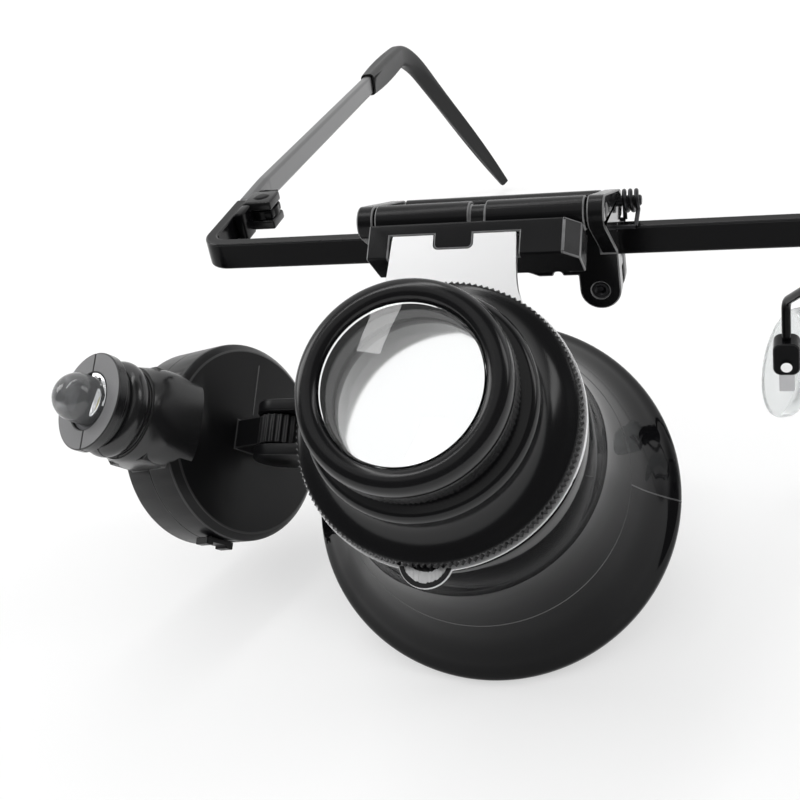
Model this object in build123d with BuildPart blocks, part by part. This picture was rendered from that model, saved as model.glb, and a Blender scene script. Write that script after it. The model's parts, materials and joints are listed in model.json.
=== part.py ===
"""Lighted magnifier glasses: a metal spectacle frame that carries a clip-on flip-up loupe
with a swivelling battery lamp. Millimetres, +Z up, +Y towards the wearer's ears.
The origin is the middle of the bar's section, half way between the end pieces."""

import os
from math import atan2, cos, degrees, pi, radians, sin, sqrt, tan

from build123d import *

os.makedirs("parts", exist_ok=True)

# Shared fits
cut_over = 2.0
fit_gap = 0.05
slide_gap = 0.1
joint_gap = 0.2

# Front bar
frame_half_width = 66.8
bar_height = 2.8
bar_thickness = 1.3
bar_bend_radius = 2.2
end_piece_reach = 11.4
bar_edge_round = 0.25

# Temple hinge, a three-part knuckle on a vertical screw
hinge_pin_radius = 0.7
hinge_knuckle_radius = 1.6
hinge_height = 3.3
hinge_leaf_length = 4.6
hinge_leaf_thickness = 1.1
hinge_head_radius = 1.0
hinge_head_height = 0.4

# Temples
temple_height = 2.6
temple_thickness = 1.3
temple_lead = 6.0
temple_length = 80.0
temple_splay = 3.7
temple_slope = 5.8
temple_lead_radius = 12.0
sleeve_start = 60.0
sleeve_overlap = 14.0
sleeve_height = 3.3
sleeve_thickness = 2.1
sleeve_tip_height = 1.4
sleeve_tip_thickness = 1.2
sleeve_bend_radius = 8.5
hook_inward = 11.2
hook_rearward = 10.6
hook_drop = 36.5

# Nose pads and what holds them
pad_arm_radius = 0.45
pad_arm_root = 6.4
pad_arm_drop = 3.2
pad_arm_knee = 4.2
pad_arm_bend = 1.8
pad_box_side = 10.1
pad_box_back = 8.0
pad_box_top = 15.5
pad_box_width = 2.6
pad_box_depth = 2.3
pad_box_height = 3.6
pad_box_round = 0.8
pad_slot_width = 1.1
pad_slot_top = 0.8
pad_screw_above = 1.1
pad_screw_radius = 0.3
pad_screw_head_radius = 0.55
pad_screw_head_height = 0.3
pad_stem_width = 1.5
pad_stem_thickness = 0.8
pad_stem_drop = 3.4
pad_stem_reach = 5.0
pad_length = 13.0
pad_width = 7.2
pad_thickness = 2.2
pad_edge_round = 0.85
pad_inside_box = 0.3
pad_behind_box = 5.3
pad_below_box = 6.0
pad_lean = 14.0
pad_turn = 34.0

# Where the loupe hangs
loupe_side = -36.6
hinge_forward = 6.6
hinge_rise = 5.6
flip_tilt = 49.7
loupe_offset = 0.4
axis_drop = 19.6
rim_to_hinge = 13.6

# Flip hinge and clip
flip_pin_radius = 0.6
flip_tube_radius = 1.5
flip_waist_radius = 1.15
flip_waist_start = 0.5
flip_waist_end = 1.9
clip_left = 9.9
clip_right = 12.3
cheek_thickness = 1.5
clip_front_wall = 1.5
clip_top = 4.0
clip_top_wall = 1.2
clip_top_reach = 0.4
clip_lip = 1.1
clip_lip_reach = 0.55
cheek_knee = 0.4
neck_relief_gap = 0.5
lobe_radius = 1.9
lobe_side = 10.4
lobe_drop = 4.2
stop_screw_radius = 0.75
stop_screw_dimple = 0.35
edge_notch_radius = 0.45
edge_notch_side = 6.6

# Sprung jaw behind the bar
jaw_thickness = 1.3
jaw_pin_radius = 0.5
jaw_hub_radius = 1.1
jaw_pin_rise = 2.9
jaw_pin_back = 1.7
jaw_drop = 3.2
jaw_notch_depth = 0.95
jaw_notch_height = 1.6
jaw_notch_length = 1.5
spring_wire_radius = 0.2
spring_coil_radius = 0.9
spring_turns = 2.5
spring_pitch = 0.55
spring_leg_run = 0.5
spring_hook_drop = 2.0
spring_hook_length = 1.6
spring_anchor_forward = 3.1
spring_anchor_drop = 1.2
spring_anchor_depth = 0.7

# Block that carries the metal bracket
holder_left = 8.2
holder_right = 9.2
holder_depth = 4.2
holder_height = 3.3
holder_below_hinge = 1.4
holder_wing = 1.3
holder_web = 2.0

# Metal bracket
bracket_face = 11.2
bracket_thickness = 0.6
bracket_overhang = 0.15
bracket_lip_wall = 0.45
bracket_lip_length = 1.1
bracket_slit = 0.5
bracket_slit_angle = -22.0
tab_top = 17.0
tab_half_width = 5.5
tab_outline = ((5.75, 13.2), (6.3, 10.9), (7.4, 9.3))
notch_half_width = 1.8
notch_depth = 1.4
notch_round = 0.5
bump_radius = 2.3
bump_reach = 1.4

# Lens barrel
aperture_radius = 6.62
rim_radius = 8.65
rim_round = 0.55
rim_line_at = 1.5
rim_line_width = 0.22
rim_line_depth = 0.18
rib_start = 2.0
rib_end = 3.9
rib_count = 72
rib_depth = 0.16
groove_radius = 8.05
groove_end = 4.9
shoulder_radius = 9.7
shoulder_end = 6.9
shoulder_round = 0.45
cove_radius = 9.3
cove_bow = 3.4
cone_radius = 11.2
flange_radius = 12.2
flange_thickness = 1.2
flange_tooth_count = 144
flange_tooth_depth = 0.22
boss_radius = 10.3
boss_length = 4.0
lens_lip = 1.2
lens_radius = 7.1
lens_edge = 1.6
front_sag = 1.1
middle_sag = 0.9
rear_sag = 1.2
spacer_length = 2.3
lens_ring_wall = 0.75
lens_ring_length = 1.4

# Eye cup
neck_radius = 12.05
neck_step = 0.35
neck_end = 21.9
cup_radius = 18.35
cup_end = 37.6
cup_lean = 2.8
cup_wall = 1.25
cup_rim_wall = 0.9
cup_rim_length = 0.8
cup_shares = ((0.13, 0.36), (0.46, 0.70), (0.80, 0.90))

# Lamp hinge
lamp_pin_side = 23.65
lamp_pin_axial = 33.4
lamp_pin_height = 5.3
lamp_turn = 24.4
knuckle_height = 3.1
knuckle_radius = 2.5
knuckle_tooth_count = 20
knuckle_tooth_depth = 0.32
knuckle_web = 3.9
lug_thickness = 1.3
lug_radius = 2.7
lug_root_side = 13.6
lug_root_half_width = 3.4
lamp_screw_radius = 0.8
lamp_screw_head_radius = 1.3
lamp_screw_head_height = 0.7

# Lamp case
drum_radius = 10.7
drum_depth = 8.6
drum_standoff = 5.0
drum_sink = 0.3
drum_wall = 1.2
drum_edge_cut = 0.8
tube_face = 18.0
tube_flange_radius = 5.1
tube_flange_end = 16.9
tube_neck_radius = 4.2
tube_neck_end = 16.1
tube_bead_radius = 5.05
tube_bead_end = 13.9
tube_groove_radius = 4.6
tube_groove_end = 13.4
tube_body_radius = 4.9
tube_base_side = 10.0
tube_base_depth = 7.6
tube_base_end = 12.4
tube_base_cut = 1.1
tube_base_start = 7.6
tube_bore_radius = 3.0
lead_bore_radius = 2.0
led_radius = 2.5
led_flange_radius = 2.9
led_flange_length = 1.0
led_body_length = 5.9
led_dome_ahead = 1.3
led_lead_side = 0.5
led_lead_spread = 2.54
led_lead_length = 3.2
reflector_wall = 0.4
reflector_recess = 0.3
reflector_length = 3.2
cell_radius = 8.0
cell_thickness = 2.0
contact_thickness = 0.3
contact_radius = 5.5
contact_strip = 2.0
contact_arm = 9.2
contact_leg = 1.3
floor_boss_radius = 6.0

# Slide switch in the drum's lower edge
switch_length = 3.6
switch_width = 1.9
switch_rise = 0.75
switch_ridge = 0.3
switch_ridge_length = 0.9
switch_stem_length = 1.6
switch_stem_width = 0.9
switch_foot_length = 2.8
switch_foot_width = 1.5
switch_foot_thickness = 0.6
switch_travel = 1.6
switch_above_seam = 1.7
switch_gap = 0.15
switch_depth = drum_depth / 2 - switch_above_seam

# Directions and places that the sizes above give
side_dir = Vector(1, 0, 0)
axis_dir = Vector(0, cos(radians(flip_tilt)), -sin(radians(flip_tilt)))
up_dir = Vector(0, sin(radians(flip_tilt)), cos(radians(flip_tilt)))
flip_point = Vector(loupe_side, -hinge_forward, hinge_rise)
front_point = flip_point - axis_dir * rim_to_hinge - up_dir * axis_drop - side_dir * loupe_offset
loupe_axis = Axis(front_point, axis_dir)
profile_plane = Plane(origin=front_point, x_dir=side_dir, z_dir=up_dir)


def face_plane(axial):
    """Plane across the loupe, a distance behind its front rim, seen from the front."""
    return Plane(origin=front_point + axis_dir * axial, x_dir=side_dir, z_dir=-axis_dir)


def holder_plane(side):
    """Plane square to the flip hinge, with its origin on the hinge and X to the rear."""
    return Plane(origin=flip_point + side_dir * side, x_dir=axis_dir, z_dir=side_dir)


def toothed_points(count, radius, depth, centre=(0, 0)):
    """Corners of a wheel with pointed teeth, around its centre."""
    step = pi / count
    radii = (radius, radius - depth)
    return [
        (centre[0] + radii[i % 2] * cos(i * step), centre[1] + radii[i % 2] * sin(i * step))
        for i in range(2 * count)
    ]


def save(builder, name):
    """Labels a finished piece and writes it to its own file."""
    builder.part.label = name
    export_step(builder.part, f"parts/{name}.step")


# Front bar with its end pieces bent back
bar_centre_side = frame_half_width - bar_thickness / 2
bar_front = -bar_thickness / 2
hinge_back = bar_front + end_piece_reach
end_piece_end = hinge_back - slide_gap
with BuildPart() as front_bar:
    with BuildLine() as bar_path:
        FilletPolyline(
            (-bar_centre_side, end_piece_end),
            (-bar_centre_side, 0),
            (bar_centre_side, 0),
            (bar_centre_side, end_piece_end),
            radius=bar_bend_radius,
        )
    with BuildSketch(Plane(origin=bar_path.line @ 0, z_dir=bar_path.line % 0, x_dir=side_dir)):
        Rectangle(bar_thickness, bar_height)
    sweep()
save(front_bar, "front_bar")

# Temple hinges: a fixed fork on the end piece and a tongue on the temple
hinge_inset = hinge_knuckle_radius
hinge_side = frame_half_width - bar_thickness - hinge_inset
knuckle_third = hinge_height / 3
leaf_face = frame_half_width - bar_thickness


def make_hinge_fork(hand):
    """Fixed half of a temple hinge, soldered to the inside of the end piece."""
    with BuildPart() as fork:
        with BuildSketch(Plane.XY.offset(-hinge_height / 2)):
            with Locations((hand * (leaf_face - hinge_leaf_thickness / 2), hinge_back - hinge_leaf_length / 2)):
                Rectangle(hinge_leaf_thickness, hinge_leaf_length)
            with Locations((hand * hinge_side, hinge_back)):
                Circle(hinge_knuckle_radius)
            with Locations((hand * leaf_face, hinge_back + hinge_knuckle_radius)):
                Rectangle(
                    hinge_leaf_thickness * 2, hinge_knuckle_radius * 2, mode=Mode.SUBTRACT
                )
        extrude(amount=hinge_height)
        with BuildSketch(Plane.XY.offset(-knuckle_third / 2 - joint_gap / 2)):
            with Locations((hand * hinge_side, hinge_back)):
                Circle(hinge_knuckle_radius + joint_gap)
            with Locations((hand * leaf_face, hinge_back + hinge_leaf_length / 2)):
                Rectangle(hinge_inset * 2 + hinge_leaf_thickness, hinge_leaf_length)
        extrude(amount=knuckle_third + joint_gap, mode=Mode.SUBTRACT)
        with Locations((hand * hinge_side, hinge_back, 0)):
            Cylinder(hinge_pin_radius, hinge_height + cut_over, mode=Mode.SUBTRACT)
    return fork


def make_hinge_screw(hand):
    """Screw that the temple turns on, with its head on the upper knuckle."""
    with BuildPart() as screw:
        with BuildSketch(Plane.XY.offset(-hinge_height / 2)):
            with Locations((hand * hinge_side, hinge_back)):
                Circle(hinge_pin_radius - fit_gap)
        extrude(amount=hinge_height)
        with BuildSketch(Plane.XY.offset(hinge_height / 2)):
            with Locations((hand * hinge_side, hinge_back)):
                Circle(hinge_head_radius)
        extrude(amount=hinge_head_height)
    return screw


def make_hinge_tongue(hand):
    """Moving half of a temple hinge: the middle knuckle and its leaf."""
    with BuildPart() as tongue:
        with BuildSketch(Plane.XY.offset(-knuckle_third / 2 + joint_gap / 2)):
            with Locations((hand * hinge_side, hinge_back)):
                Circle(hinge_knuckle_radius)
            with Locations((hand * (leaf_face - hinge_inset / 2), hinge_back + hinge_leaf_length / 2)):
                Rectangle(hinge_inset, hinge_leaf_length)
            with Locations((hand * leaf_face, hinge_back - hinge_knuckle_radius)):
                Rectangle(
                    hinge_leaf_thickness * 2, hinge_knuckle_radius * 2 + joint_gap, mode=Mode.SUBTRACT
                )
        extrude(amount=knuckle_third - joint_gap)
        with Locations((hand * hinge_side, hinge_back, 0)):
            Cylinder(hinge_pin_radius, hinge_height + cut_over, mode=Mode.SUBTRACT)
    return tongue


def temple_points(hand):
    """Corners of a temple's centre line: its start, the end of its lead and the ear bend."""
    start = Vector(hand * bar_centre_side, hinge_back + slide_gap, 0)
    lead = start + Vector(0, temple_lead, 0)
    reach = temple_length - temple_lead
    bend = lead + Vector(
        hand * reach * tan(radians(temple_splay)), reach, -reach * tan(radians(temple_slope))
    )
    return start, lead, bend


def make_temple(hand):
    """Flat metal temple, up to its end inside the ear sleeve."""
    start, lead, bend = temple_points(hand)
    run = bend - lead
    end = lead + run * ((sleeve_start + sleeve_overlap - temple_lead) / temple_length)
    with BuildPart() as temple:
        with BuildLine() as path:
            FilletPolyline(start, lead, end, radius=temple_lead_radius)
        with BuildSketch(Plane(origin=start, z_dir=(0, 1, 0), x_dir=side_dir)):
            Rectangle(temple_thickness, temple_height)
        sweep()
    return temple


def sleeve_section(centre, along, height, thickness):
    """Rounded section of the ear sleeve, square to its route."""
    plane = Plane(origin=centre, z_dir=along, x_dir=Vector(0, 0, 1).cross(along))
    with BuildSketch(plane) as section:
        RectangleRounded(thickness, height, thickness * 0.35)
    return section


def make_sleeve(hand):
    """Plastic ear sleeve: it runs on from the temple, bends down and tapers to its tip."""
    _, lead, bend = temple_points(hand)
    run = bend - lead
    mouth = lead + run * ((sleeve_start - temple_lead) / temple_length)
    tip = Vector(
        bend.X - hand * hook_inward, bend.Y + hook_rearward, sleeve_tip_height / 2 - hook_drop
    )
    along = run.normalized()
    hook = (tip - bend).normalized()
    with BuildPart() as sleeve:
        with BuildLine() as path:
            FilletPolyline(mouth, bend, tip, radius=sleeve_bend_radius)
        line = path.line
        stations = ((0, 0.95, 0.95), (0.35, 1, 1), (0.66, 0.78, 0.8))
        for share, tall, thick in stations:
            plane = Plane(
                origin=line @ share, z_dir=line % share, x_dir=Vector(0, 0, 1).cross(line % share)
            )
            with BuildSketch(plane):
                RectangleRounded(
                    sleeve_thickness * thick, sleeve_height * tall, sleeve_thickness * thick / 3
                )
        with BuildSketch(Plane(origin=line @ 1, z_dir=hook, x_dir=Vector(0, 0, 1).cross(hook))):
            RectangleRounded(sleeve_tip_thickness, sleeve_tip_height, sleeve_tip_thickness / 3)
        sweep(multisection=True)
        slot_plane = Plane(origin=mouth - along, z_dir=along, x_dir=Vector(0, 0, 1).cross(along))
        with BuildSketch(slot_plane):
            Rectangle(temple_thickness + fit_gap * 2, temple_height + fit_gap * 2)
        extrude(amount=sleeve_overlap + cut_over, mode=Mode.SUBTRACT)
    return sleeve


for hand, side in ((-1, "left"), (1, "right")):
    save(make_hinge_fork(hand), f"hinge_fork_{side}")
    save(make_hinge_screw(hand), f"hinge_screw_{side}")
    save(make_hinge_tongue(hand), f"hinge_tongue_{side}")
    save(make_temple(hand), f"temple_{side}")
    save(make_sleeve(hand), f"ear_sleeve_{side}")

# Nose pad arms, boxes, screws, stems and pads
pad_screw_z = -pad_box_top - pad_box_height + pad_screw_above
pad_box_front = pad_box_back - pad_box_depth / 2


def make_pad_arm(hand):
    """Bent wire from the bar's lower face to the top of the pad box."""
    root = Vector(hand * pad_arm_root, 0, -bar_height / 2)
    knee = root - Vector(0, 0, pad_arm_drop)
    end = Vector(hand * pad_box_side, pad_box_back, -pad_box_top)
    elbow = end + Vector(0, 0, pad_arm_knee)
    with BuildPart() as arm:
        with BuildLine():
            FilletPolyline(root, knee, elbow, end, radius=pad_arm_bend)
        with BuildSketch(Plane(origin=root, z_dir=(0, 0, -1), x_dir=side_dir)):
            Circle(pad_arm_radius)
        sweep()
    return arm


def make_pad_box(hand):
    """Small fork that the pad's stem turns in."""
    with BuildPart() as box:
        with BuildSketch(Plane(origin=(hand * pad_box_side, pad_box_front, 0), z_dir=(0, 1, 0), x_dir=side_dir)):
            with Locations((0, pad_box_top + pad_box_height / 2)):
                RectangleRounded(pad_box_width, pad_box_height, pad_box_round)
        extrude(amount=pad_box_depth)
        slot_height = pad_box_height - pad_slot_top
        with Locations((hand * pad_box_side, pad_box_back, -pad_box_top - pad_slot_top - slot_height / 2)):
            Box(pad_box_width * 2, pad_slot_width, slot_height, mode=Mode.SUBTRACT)
        with Locations((hand * pad_box_side, pad_box_back, pad_screw_z)):
            Cylinder(
                pad_screw_radius + fit_gap, pad_box_depth * 2, rotation=(90, 0, 0), mode=Mode.SUBTRACT
            )
    return box


def make_pad_screws():
    """The two identical pad screws, as separate solids of one piece."""
    with BuildPart() as screws:
        for hand in (-1, 1):
            shank = Plane(origin=(hand * pad_box_side, pad_box_front, pad_screw_z), z_dir=(0, 1, 0))
            with BuildSketch(shank):
                Circle(pad_screw_radius)
            extrude(amount=pad_box_depth)
            with BuildSketch(shank):
                Circle(pad_screw_head_radius)
            extrude(amount=-pad_screw_head_height)
    return screws


def make_pad_stem(hand, play=0.0):
    """Bent strip with an eye for the screw; with play it is the pocket that the pad has for it."""
    side = hand * pad_box_side
    foot = pad_screw_z - pad_stem_drop
    front = pad_box_back - pad_stem_thickness / 2
    width = pad_stem_width + play * 2
    with BuildPart() as stem:
        with BuildSketch(Plane(origin=(side, front - play, 0), z_dir=(0, 1, 0), x_dir=side_dir)):
            with Locations((0, -pad_screw_z)):
                Circle(width / 2)
            with Locations((0, -(pad_screw_z + foot) / 2)):
                Rectangle(width, pad_stem_drop)
        extrude(amount=pad_stem_thickness + play * 2)
        reach = pad_stem_reach + play
        with Locations((side, front + reach / 2, foot + pad_stem_thickness / 2)):
            Box(width, reach, pad_stem_thickness + play * 2)
        with Locations((side, pad_box_back, pad_screw_z)):
            Cylinder(
                pad_screw_radius + fit_gap, pad_box_depth, rotation=(90, 0, 0), mode=Mode.SUBTRACT
            )
    return stem


def make_nose_pad(hand):
    """Soft oval pad, rounded all round, leaning with the side of the nose."""
    centre = Vector(
        hand * (pad_box_side - pad_inside_box),
        pad_box_back + pad_behind_box,
        -pad_box_top - pad_below_box,
    )
    tall = Vector(-hand * sin(radians(pad_lean)), 0, cos(radians(pad_lean)))
    out = Vector(hand * cos(radians(pad_turn)), -sin(radians(pad_turn)), 0)
    out = (out - tall * out.dot(tall)).normalized()
    with BuildPart() as pad:
        with BuildSketch(Plane(origin=centre - out * (pad_thickness / 2), z_dir=out, x_dir=tall)):
            Ellipse(pad_length / 2, pad_width / 2)
        extrude(amount=pad_thickness)
        fillet(pad.edges(), radius=pad_edge_round)
        add(make_pad_stem(hand, fit_gap).part, mode=Mode.SUBTRACT)
    return pad


for hand, side in ((-1, "left"), (1, "right")):
    save(make_pad_arm(hand), f"pad_arm_{side}")
    save(make_pad_box(hand), f"pad_box_{side}")
    save(make_pad_stem(hand), f"pad_stem_{side}")
    save(make_nose_pad(hand), f"nose_pad_{side}")
save(make_pad_screws(), "pad_screws")

# Clip that slides on the bar
bar_back = bar_thickness / 2
channel_front = bar_front - slide_gap
channel_back = bar_back + slide_gap
channel_half = bar_height / 2 + slide_gap
clip_front = channel_front - clip_front_wall
lip_bottom = -channel_half - clip_lip
clip_start = loupe_side - clip_left
clip_end = loupe_side + clip_right
jaw_pin_point = Vector(clip_start, jaw_pin_back, jaw_pin_rise)
relief_radius = neck_radius + neck_relief_gap
relief_centre = (loupe_side - loupe_offset, channel_back, hinge_rise - axis_drop)


def side_plane(side):
    """Plane square to the bar, with its X to the rear and its Y up."""
    return Plane(origin=(side, 0, 0), x_dir=(0, 1, 0), z_dir=side_dir)


def cheek_outline():
    """Outline of a cheek: it holds the flip pin in front and the jaw pin behind."""
    with BuildSketch(Plane.XY) as outline:
        with BuildSketch(Plane.XY) as web:
            with Locations((-hinge_forward, hinge_rise)):
                Circle(flip_tube_radius)
            with Locations((jaw_pin_back, jaw_pin_rise)):
                Circle(jaw_hub_radius)
            with Locations(((clip_front + channel_front) / 2, -cheek_knee / 2)):
                Rectangle(clip_front_wall, cheek_knee)
            make_hull()
        with Locations(((clip_front + channel_front) / 2, (lip_bottom + clip_top) / 2)):
            Rectangle(clip_front_wall, clip_top - lip_bottom)
        with Locations((channel_front + jaw_hub_radius * 2, 0)):
            Rectangle(jaw_hub_radius * 4, channel_half * 2, mode=Mode.SUBTRACT)
    return outline.sketch


with BuildPart() as clip_body:
    with BuildSketch(Plane.XY.offset(lip_bottom)):
        with Locations(((clip_start + clip_end) / 2, (clip_front + channel_front) / 2)):
            Rectangle(clip_end - clip_start, clip_front_wall)
    extrude(amount=clip_top - lip_bottom)
    with BuildSketch(side_plane(clip_start)):
        with Locations((channel_front + clip_top_reach / 2, channel_half + clip_top_wall / 2)):
            Rectangle(clip_top_reach * 3, clip_top_wall)
        with Locations((channel_front + clip_lip_reach / 2, lip_bottom + clip_lip / 2)):
            Rectangle(clip_lip_reach * 2, clip_lip)
    extrude(amount=clip_end - clip_start)
    for start in (clip_start, clip_end - cheek_thickness):
        with BuildSketch(side_plane(start)):
            add(cheek_outline())
        extrude(amount=cheek_thickness)
    with Locations(relief_centre):
        Cylinder(relief_radius, hinge_forward * 2, rotation=(90, 0, 0), mode=Mode.SUBTRACT)
    lobe_plane = Plane(origin=(loupe_side, clip_front, 0), x_dir=side_dir, z_dir=(0, -1, 0))
    with BuildSketch(lobe_plane):
        with Locations((lobe_side, -lobe_drop)):
            Circle(lobe_radius)
        with Locations((lobe_side, (lip_bottom - lobe_drop) / 2)):
            Rectangle(lobe_radius * 2, lip_bottom + lobe_drop)
    extrude(amount=-clip_front_wall)
    with BuildSketch(lobe_plane):
        with Locations((lobe_side, -lobe_drop)):
            Circle(stop_screw_radius + fit_gap)
        with Locations((edge_notch_side, lip_bottom)):
            Circle(edge_notch_radius)
    extrude(amount=-clip_front_wall, mode=Mode.SUBTRACT)
    with BuildSketch(side_plane(clip_start)):
        with Locations((-hinge_forward, hinge_rise)):
            Circle(flip_pin_radius + fit_gap)
        with Locations((jaw_pin_back, jaw_pin_rise)):
            Circle(jaw_pin_radius + fit_gap)
    extrude(amount=clip_end - clip_start, mode=Mode.SUBTRACT)
    with Locations((clip_end, jaw_pin_back - spring_anchor_forward, jaw_pin_rise - spring_anchor_drop)):
        Cylinder(
            spring_wire_radius + fit_gap,
            spring_anchor_depth * 2,
            rotation=(0, 90, 0),
            mode=Mode.SUBTRACT,
        )
save(clip_body, "clip_body")

with BuildPart() as flip_pin:
    with BuildSketch(side_plane(clip_start)):
        with Locations((-hinge_forward, hinge_rise)):
            Circle(flip_pin_radius)
    extrude(amount=clip_end - clip_start)
    chamfer(flip_pin.edges(), length=flip_pin_radius / 4)
save(flip_pin, "flip_pin")

spring_start = clip_end + spring_wire_radius + fit_gap
spring_height = spring_turns * spring_pitch
jaw_pin_length = clip_right + clip_left + spring_height + spring_pitch
with BuildPart() as jaw_pin:
    with BuildSketch(side_plane(clip_start)):
        with Locations((jaw_pin_back, jaw_pin_rise)):
            Circle(jaw_pin_radius)
    extrude(amount=jaw_pin_length)
    chamfer(jaw_pin.edges(), length=jaw_pin_radius / 4)
save(jaw_pin, "jaw_pin")

with BuildPart() as stop_screw:
    with BuildSketch(lobe_plane):
        with Locations((lobe_side, -lobe_drop)):
            Circle(stop_screw_radius)
    extrude(amount=clip_front - channel_back)
    with BuildSketch(lobe_plane):
        with Locations((lobe_side, -lobe_drop)):
            Circle(stop_screw_radius * 0.7)
    extrude(amount=-stop_screw_dimple, taper=40, mode=Mode.SUBTRACT)
save(stop_screw, "stop_screw")

# Jaw that closes the channel from behind
jaw_front = channel_back
jaw_left = clip_start + cheek_thickness + joint_gap
jaw_right = clip_end - cheek_thickness - joint_gap
jaw_back = jaw_front + jaw_thickness
hook_level = jaw_pin_rise - spring_hook_drop
with BuildPart() as rear_jaw:
    with BuildSketch(side_plane(jaw_left)):
        with Locations((jaw_pin_back, jaw_pin_rise)):
            Circle(jaw_hub_radius)
        with Locations((jaw_front + jaw_thickness / 2, (jaw_pin_rise - jaw_drop) / 2)):
            Rectangle(jaw_thickness, jaw_pin_rise + jaw_drop)
    extrude(amount=jaw_right - jaw_left)
    jaw_plane = Plane(origin=(loupe_side, jaw_front, 0), x_dir=side_dir, z_dir=(0, -1, 0))
    with BuildSketch(jaw_plane):
        with Locations(((clip_right - clip_left) / 2, (channel_half - joint_gap - jaw_drop) / 2)):
            Rectangle(clip_right + clip_left, channel_half - joint_gap + jaw_drop)
        with Locations((lobe_side, -lobe_drop)):
            Circle(lobe_radius)
        with Locations((lobe_side, -(jaw_drop + lobe_drop) / 2)):
            Rectangle(lobe_radius * 2, lobe_drop - jaw_drop)
    extrude(amount=-jaw_thickness)
    with Locations(relief_centre):
        Cylinder(relief_radius, hinge_forward * 2, rotation=(90, 0, 0), mode=Mode.SUBTRACT)
    with BuildSketch(side_plane(clip_end - jaw_notch_length)):
        with Locations((jaw_back, hook_level)):
            Rectangle(jaw_notch_depth * 2, jaw_notch_height)
    extrude(amount=jaw_notch_length, mode=Mode.SUBTRACT)
    with BuildSketch(side_plane(jaw_left)):
        with Locations((jaw_pin_back, jaw_pin_rise)):
            Circle(jaw_pin_radius + fit_gap)
    extrude(amount=jaw_right - jaw_left, mode=Mode.SUBTRACT)
save(rear_jaw, "rear_jaw")


def spring_leg(points):
    """One straight-sided leg of the spring along its corner points."""
    with BuildPart() as leg:
        with BuildLine():
            Polyline(*points)
        along = points[1] - points[0]
        with BuildSketch(Plane(origin=points[0], z_dir=along)):
            Circle(spring_wire_radius)
        sweep(transition=Transition.ROUND)
    return leg.part


coil_axis = Axis((spring_start, jaw_pin_back, jaw_pin_rise), side_dir)
with BuildLine() as coil:
    Helix(
        spring_pitch, spring_height, spring_coil_radius, center=coil_axis.position, direction=side_dir
    )
coil_path = coil.line.rotate(coil_axis, -90)
coil_start = coil_path @ 0
coil_finish = coil_path @ 1
with BuildPart() as jaw_spring:
    with BuildSketch(Plane(origin=coil_start, z_dir=coil_path % 0)):
        Circle(spring_wire_radius)
    sweep(path=coil_path)
    anchor = Vector(
        coil_finish.X, jaw_pin_back - spring_anchor_forward, jaw_pin_rise - spring_anchor_drop
    )
    sunk = Vector(clip_end - spring_anchor_depth + fit_gap, anchor.Y, anchor.Z)
    finish_run = coil_finish + (coil_path % 1) * spring_leg_run
    add(spring_leg([coil_finish, finish_run, anchor, sunk]))
    hook = Vector(coil_start.X, jaw_back, hook_level)
    start_run = coil_start - (coil_path % 0) * spring_leg_run
    add(spring_leg([coil_start, start_run, hook, hook - side_dir * spring_hook_length]))
save(jaw_spring, "jaw_spring")

# Holder block and hinge tubes, turning on the flip pin
holder_top = -holder_below_hinge
holder_front = bracket_face - rim_to_hinge
with BuildPart() as plate_holder:
    with BuildSketch(holder_plane(-holder_left)):
        with Locations((holder_front + holder_depth / 2, holder_top - holder_height / 2)):
            Rectangle(holder_depth, holder_height)
        with Locations((0, holder_top / 2)):
            Rectangle(holder_web, -holder_top)
    extrude(amount=holder_left + holder_right)
    fillet(plate_holder.edges().filter_by(Axis.X), radius=fit_gap * 4)
    with BuildSketch(holder_plane(-holder_left)):
        Circle(flip_tube_radius)
    extrude(amount=holder_left + flip_waist_start)
    with BuildSketch(holder_plane(flip_waist_start)):
        Circle(flip_waist_radius)
    extrude(amount=flip_waist_end - flip_waist_start)
    with BuildSketch(holder_plane(flip_waist_end)):
        Circle(flip_tube_radius)
    extrude(amount=clip_right - cheek_thickness - joint_gap - flip_waist_end)
    wing_plane = Plane(
        origin=flip_point + up_dir * (holder_top - holder_height / 2), x_dir=side_dir, z_dir=up_dir
    )
    with BuildSketch(wing_plane):
        with BuildLine():
            Polyline(
                (holder_right, holder_front),
                (holder_right + holder_wing, holder_front + holder_wing),
                (holder_right + holder_wing, holder_front + holder_depth),
                (holder_right, holder_front + holder_depth),
                close=True,
            )
        make_face()
    extrude(amount=holder_height / 2, both=True)
    with BuildSketch(face_plane(bracket_face)) as recess:
        low = axis_drop + holder_top - holder_height - joint_gap
        with Locations((0, (low + tab_top + fit_gap) / 2)):
            Rectangle((tab_outline[0][0] + fit_gap) * 2, tab_top - low + fit_gap)
        tongue_low = tab_top - notch_depth + fit_gap
        with Locations((0, tongue_low + notch_depth)):
            RectangleRounded(
                (notch_half_width - fit_gap) * 2, notch_depth * 2, notch_round, mode=Mode.SUBTRACT
            )
    extrude(amount=-bracket_thickness, mode=Mode.SUBTRACT)
    with BuildSketch(holder_plane(-holder_left)):
        Circle(flip_pin_radius + fit_gap)
    extrude(amount=holder_left + clip_right, mode=Mode.SUBTRACT)
save(plate_holder, "plate_holder")

# Sheet-metal bracket: a ring round the loupe with a tongue above and a bump below
ring_radius = flange_radius + bracket_overhang
bracket_back = bracket_face + bracket_thickness


def tongue_side(hand):
    """Points up one side of the tongue, from its foot in the ring to its top."""
    foot = (ring_radius * 0.78, ring_radius * 0.53)
    points = [foot, *reversed(tab_outline), (tab_half_width, tab_top)]
    return [(hand * x, y) for x, y in points]


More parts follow.
